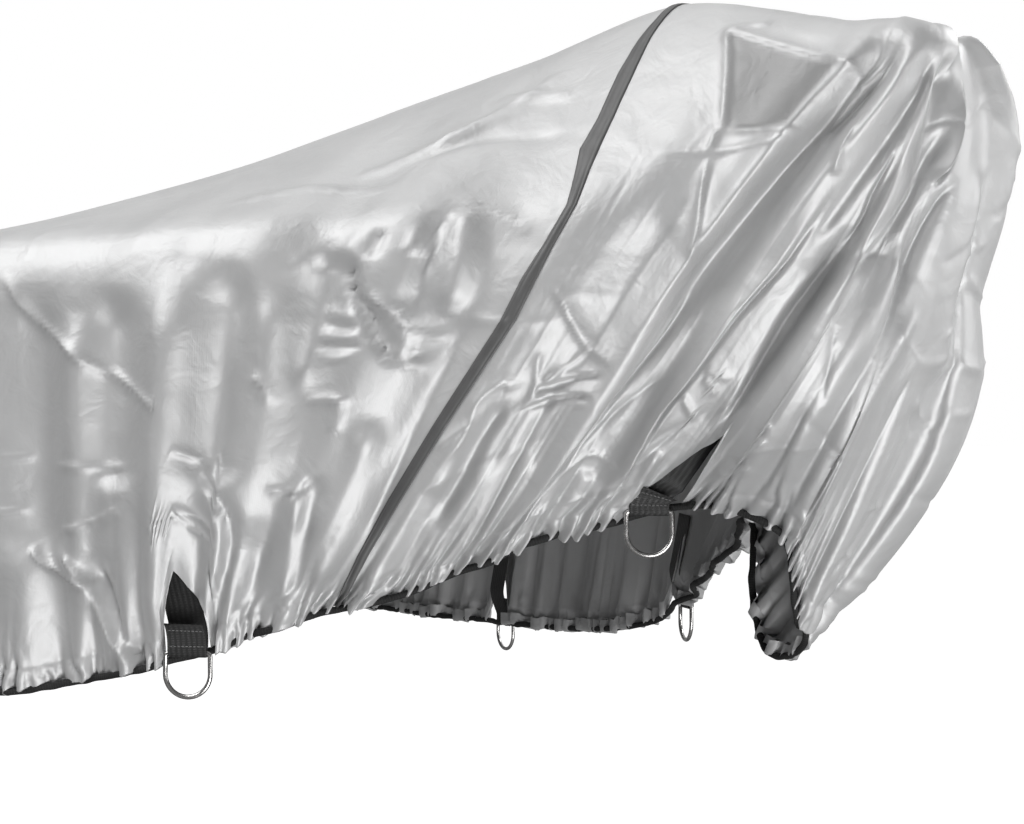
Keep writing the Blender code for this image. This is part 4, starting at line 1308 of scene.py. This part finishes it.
def seam_band_and_shade():
    """The bands' dark cloth, slightly uneven: partly the band's own dark grey and partly painted shade
    of the fold beside the bow seam.
    """
    look = Look("seam_band_and_shade", Metallic=0.2, Roughness=0.5)
    marks = look.speckle(Scale=40.0, Detail=4.0)
    # dark grey 0.07 to 0.13: partly the band's own colour, partly painted shade of the fold valley
    # beside the bow seam
    look.feed(look.mixed(marks, grey(0.07), grey(0.13)), "Base Color")
    look.feed(look.bump(marks, 0.4, 0.0008), "Normal")
    return look.material


def ribbed(name, low, high, roughness, turns_along, turns_across, depth):
    """Woven or braided black textile, its ribs set by the UVs in metres."""
    look = Look(name, Roughness=roughness)
    lengthwise = look.ribs("X", Scale=turns_along, Distortion=0.4)
    both = look.joined("MULTIPLY", lengthwise, look.ribs("Y", Scale=turns_across))
    look.feed(look.mixed(both, low, high), "Base Color")
    look.feed(look.bump(both, 0.6, depth), "Normal")
    return look.material


def nickel():
    """Plated wire, unevenly dulled."""
    look = Look("nickel_wire", Metallic=1.0)
    marks = look.speckle(Scale=180.0, Detail=3.0)
    look.feed(look.mixed(marks, grey(0.42, 0.01), grey(0.66, 0.02)), "Base Color")
    look.feed(look.spread(marks, 0.16, 0.34), "Roughness")
    return look.material


def sewing_thread():
    """The straps' stitches."""
    look = Look("thread", Roughness=0.6)
    look.feed(look.mixed(look.speckle(Scale=900.0), grey(0.10), grey(0.22)), "Base Color")
    return look.material


# ---------------------------------------------------------------- camera, light and floor


CAMERA_TURN = math.radians(42)
# From the bow's middle, in metres: back from it, and how far the camera stands left and down.
CAMERA_AWAY = 2.2
CAMERA_LEFT = 0.4155
CAMERA_DOWN = 0.2378
CAMERA_NEAR = 0.05
CAMERA_FAR = 200.0
SENSOR_WIDE = 36.0
FOCUS_PIXELS = 2440
PHOTO_WIDE = 1024
FLOOR_DOWN = 1.25
FLOOR_HALF = 60.0
# The soft lights: metres to the camera's right, back to it and up, all from the target, then the
# size across and the power.
LIGHT_TARGET = (1.7, 0.0, -0.2)
LIGHTS = (
    ("key", -2.5, 1.3, 2.7, 2.4, 102.0),
    ("top", -0.6, -0.8, 3.2, 2.6, 26.0),
    ("fill", 0.9, 2.8, -1.7, 2.2, 94.0),
    ("side", 3.0, 0.4, 0.2, 1.8, 34.0),
    ("rim", 2.3, -1.2, 1.9, 1.2, 46.0),
)
# The world as the light sees it, graded along one way, which goes beyond the cover and up: the place
# of each tone between that way's opposite and its end, then its level and the level of its blue.
WORLD_STRENGTH = 0.31
WORLD_BRIGHT_BEYOND = 0.75
WORLD_BRIGHT_UP = 0.66
WORLD_TONES = ((0.0, 0.85, 0.855), (0.5, 0.30, 0.305), (1.0, 1.7, 1.7))


def view_ways():
    """The camera's ways to its right and back."""
    right = np.array([math.cos(CAMERA_TURN), math.sin(CAMERA_TURN), 0.0])
    back = np.array([math.sin(CAMERA_TURN), -math.cos(CAMERA_TURN), 0.0])
    return right, back


def add_camera():
    """The camera looks level, as the photograph's did."""
    right, back = view_ways()
    lens = bpy.data.cameras.new("camera")
    lens.sensor_width = SENSOR_WIDE
    lens.lens = SENSOR_WIDE * FOCUS_PIXELS / PHOTO_WIDE
    lens.clip_start = CAMERA_NEAR
    lens.clip_end = CAMERA_FAR
    camera = bpy.data.objects.new("camera", lens)
    bow = np.array([BOW_TO_ORIGIN, 0.0, -CAMERA_DOWN])
    camera.location = Vector(bow - right * CAMERA_LEFT + back * CAMERA_AWAY)
    camera.rotation_euler = (math.pi / 2, 0.0, CAMERA_TURN)
    bpy.context.scene.collection.objects.link(camera)
    bpy.context.scene.camera = camera


def add_light(name, right_way, back_way, up, size, power):
    """A soft round light that looks at the target."""
    right, back = view_ways()
    target = Vector(LIGHT_TARGET)
    lamp = bpy.data.lights.new(name, "AREA")
    lamp.shape = "DISK"
    lamp.size = size
    lamp.energy = power
    made = bpy.data.objects.new(name, lamp)
    made.location = target + Vector(right * right_way + back * back_way + np.array([0, 0, up]))
    made.rotation_euler = (target - made.location).to_track_quat("-Z", "Y").to_euler()
    bpy.context.scene.collection.objects.link(made)


def add_world():
    """White all round for the eye. For the light it is bright above and beyond the cover."""
    world = bpy.data.worlds.new("studio")
    world.use_nodes = True
    nodes, links = world.node_tree.nodes, world.node_tree.links
    nodes.clear()
    out = nodes.new("ShaderNodeOutputWorld")
    seen = put(nodes.new("ShaderNodeBackground"), Color=(1, 1, 1, 1), Strength=1.0)
    lit = put(nodes.new("ShaderNodeBackground"), Strength=WORLD_STRENGTH)
    which = nodes.new("ShaderNodeMixShader")
    path = nodes.new("ShaderNodeLightPath")
    place = nodes.new("ShaderNodeTexCoord")
    toward = nodes.new("ShaderNodeVectorMath")
    toward.operation = "DOT_PRODUCT"
    _, back = view_ways()
    toward.inputs[1].default_value = (*(-WORLD_BRIGHT_BEYOND * back[:2]), WORLD_BRIGHT_UP)
    ramp = nodes.new("ShaderNodeValToRGB")
    tones = ramp.color_ramp.elements
    tones.new(0.5)
    for tone, (position, level, blue) in zip(tones, WORLD_TONES):
        tone.position = position
        tone.color = (level, level, blue, 1)
    share = put(nodes.new("ShaderNodeMapRange"), From_Min=-1.0, From_Max=1.0)
    links.new(place.outputs["Generated"], toward.inputs[0])
    links.new(toward.outputs["Value"], share.inputs["Value"])
    links.new(share.outputs["Result"], ramp.inputs["Fac"])
    links.new(ramp.outputs["Color"], lit.inputs["Color"])
    links.new(path.outputs["Is Camera Ray"], which.inputs["Fac"])
    links.new(lit.outputs["Background"], which.inputs[1])
    links.new(seen.outputs["Background"], which.inputs[2])
    links.new(which.outputs["Shader"], out.inputs["Surface"])
    bpy.context.scene.world = world


def add_floor():
    """A pale floor that casts and reflects nothing on the cover."""
    white = (1, 1, 1, 1)
    look = Look(
        "pale_floor", Base_Color=grey(0.8), Roughness=0.9, Emission_Color=white, Emission_Strength=0.8
    )
    corners = [(-1, -1), (1, -1), (1, 1), (-1, 1)]
    points = [(x * FLOOR_HALF, y * FLOOR_HALF, -FLOOR_DOWN) for x, y in corners]
    floor = add_mesh("floor", points, [(0, 1, 2, 3)], [look.material], smooth=False)
    floor.visible_diffuse = False
    floor.visible_glossy = False
    floor.visible_shadow = False


# ---------------------------------------------------------------- all together


def all_creases():
    """The creases read from the photograph, and the packing creases."""
    creases = list(BOW_CREASES)
    creases += [(shape, WALL_GAIN * height, *rest) for shape, height, *rest in WALL_CREASES]
    for k, (count, places, downs) in enumerate(PACKING_CREASES):
        creases += random_creases(SEED + k, count, places, downs)
    return creases


def main():
    """The camera, the light and the floor, then the cover piece by piece."""
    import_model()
    bpy.context.scene.view_settings.view_transform = "Standard"
    add_camera()
    add_world()
    add_floor()
    for light in LIGHTS:
        add_light(*light)

    silver, band, stitch, metal = silver_cloth(), seam_band_and_shade(), sewing_thread(), nickel()
    webbing = ribbed("webbing", grey(0.008), grey(0.030), 0.55, 190.0, 60.0, 0.0006)
    elastic = ribbed("braid", grey(0.004), grey(0.020), 0.7, 120.0, 6.0, 0.0008)
    creases = all_creases()

    fittings = {}
    cord = build_cord(elastic)
    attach(cord, "root")
    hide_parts("hem_cord")
    for name, place, _, _ in STRAPS:
        strap = build_strap(f"webbing_{name}", place, webbing, stitch)
        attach(strap, "root")
        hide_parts(f"strap_{name}")
        ring = build_ring(f"d_ring_{name}", place, metal)
        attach(ring, "root")
        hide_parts(f"ring_{name}")
        fittings[place] = [strap, ring]
    for name, place, cut_length in SEAMS:
        piece = build_band(f"band_{name.split('_')[1]}", place, creases, band)
        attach(piece, "root")
        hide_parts(name)
    for row in PANELS:
        piece = build_panel(row, creases, silver)
        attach(piece, "root")
        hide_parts(row[0])
        panel = dict(zip(PANEL_COLUMNS, row))
        held = []
        for place, pieces in fittings.items():
            if panel["first"] < abs(place) < panel["last"]:
                held += pieces


main()
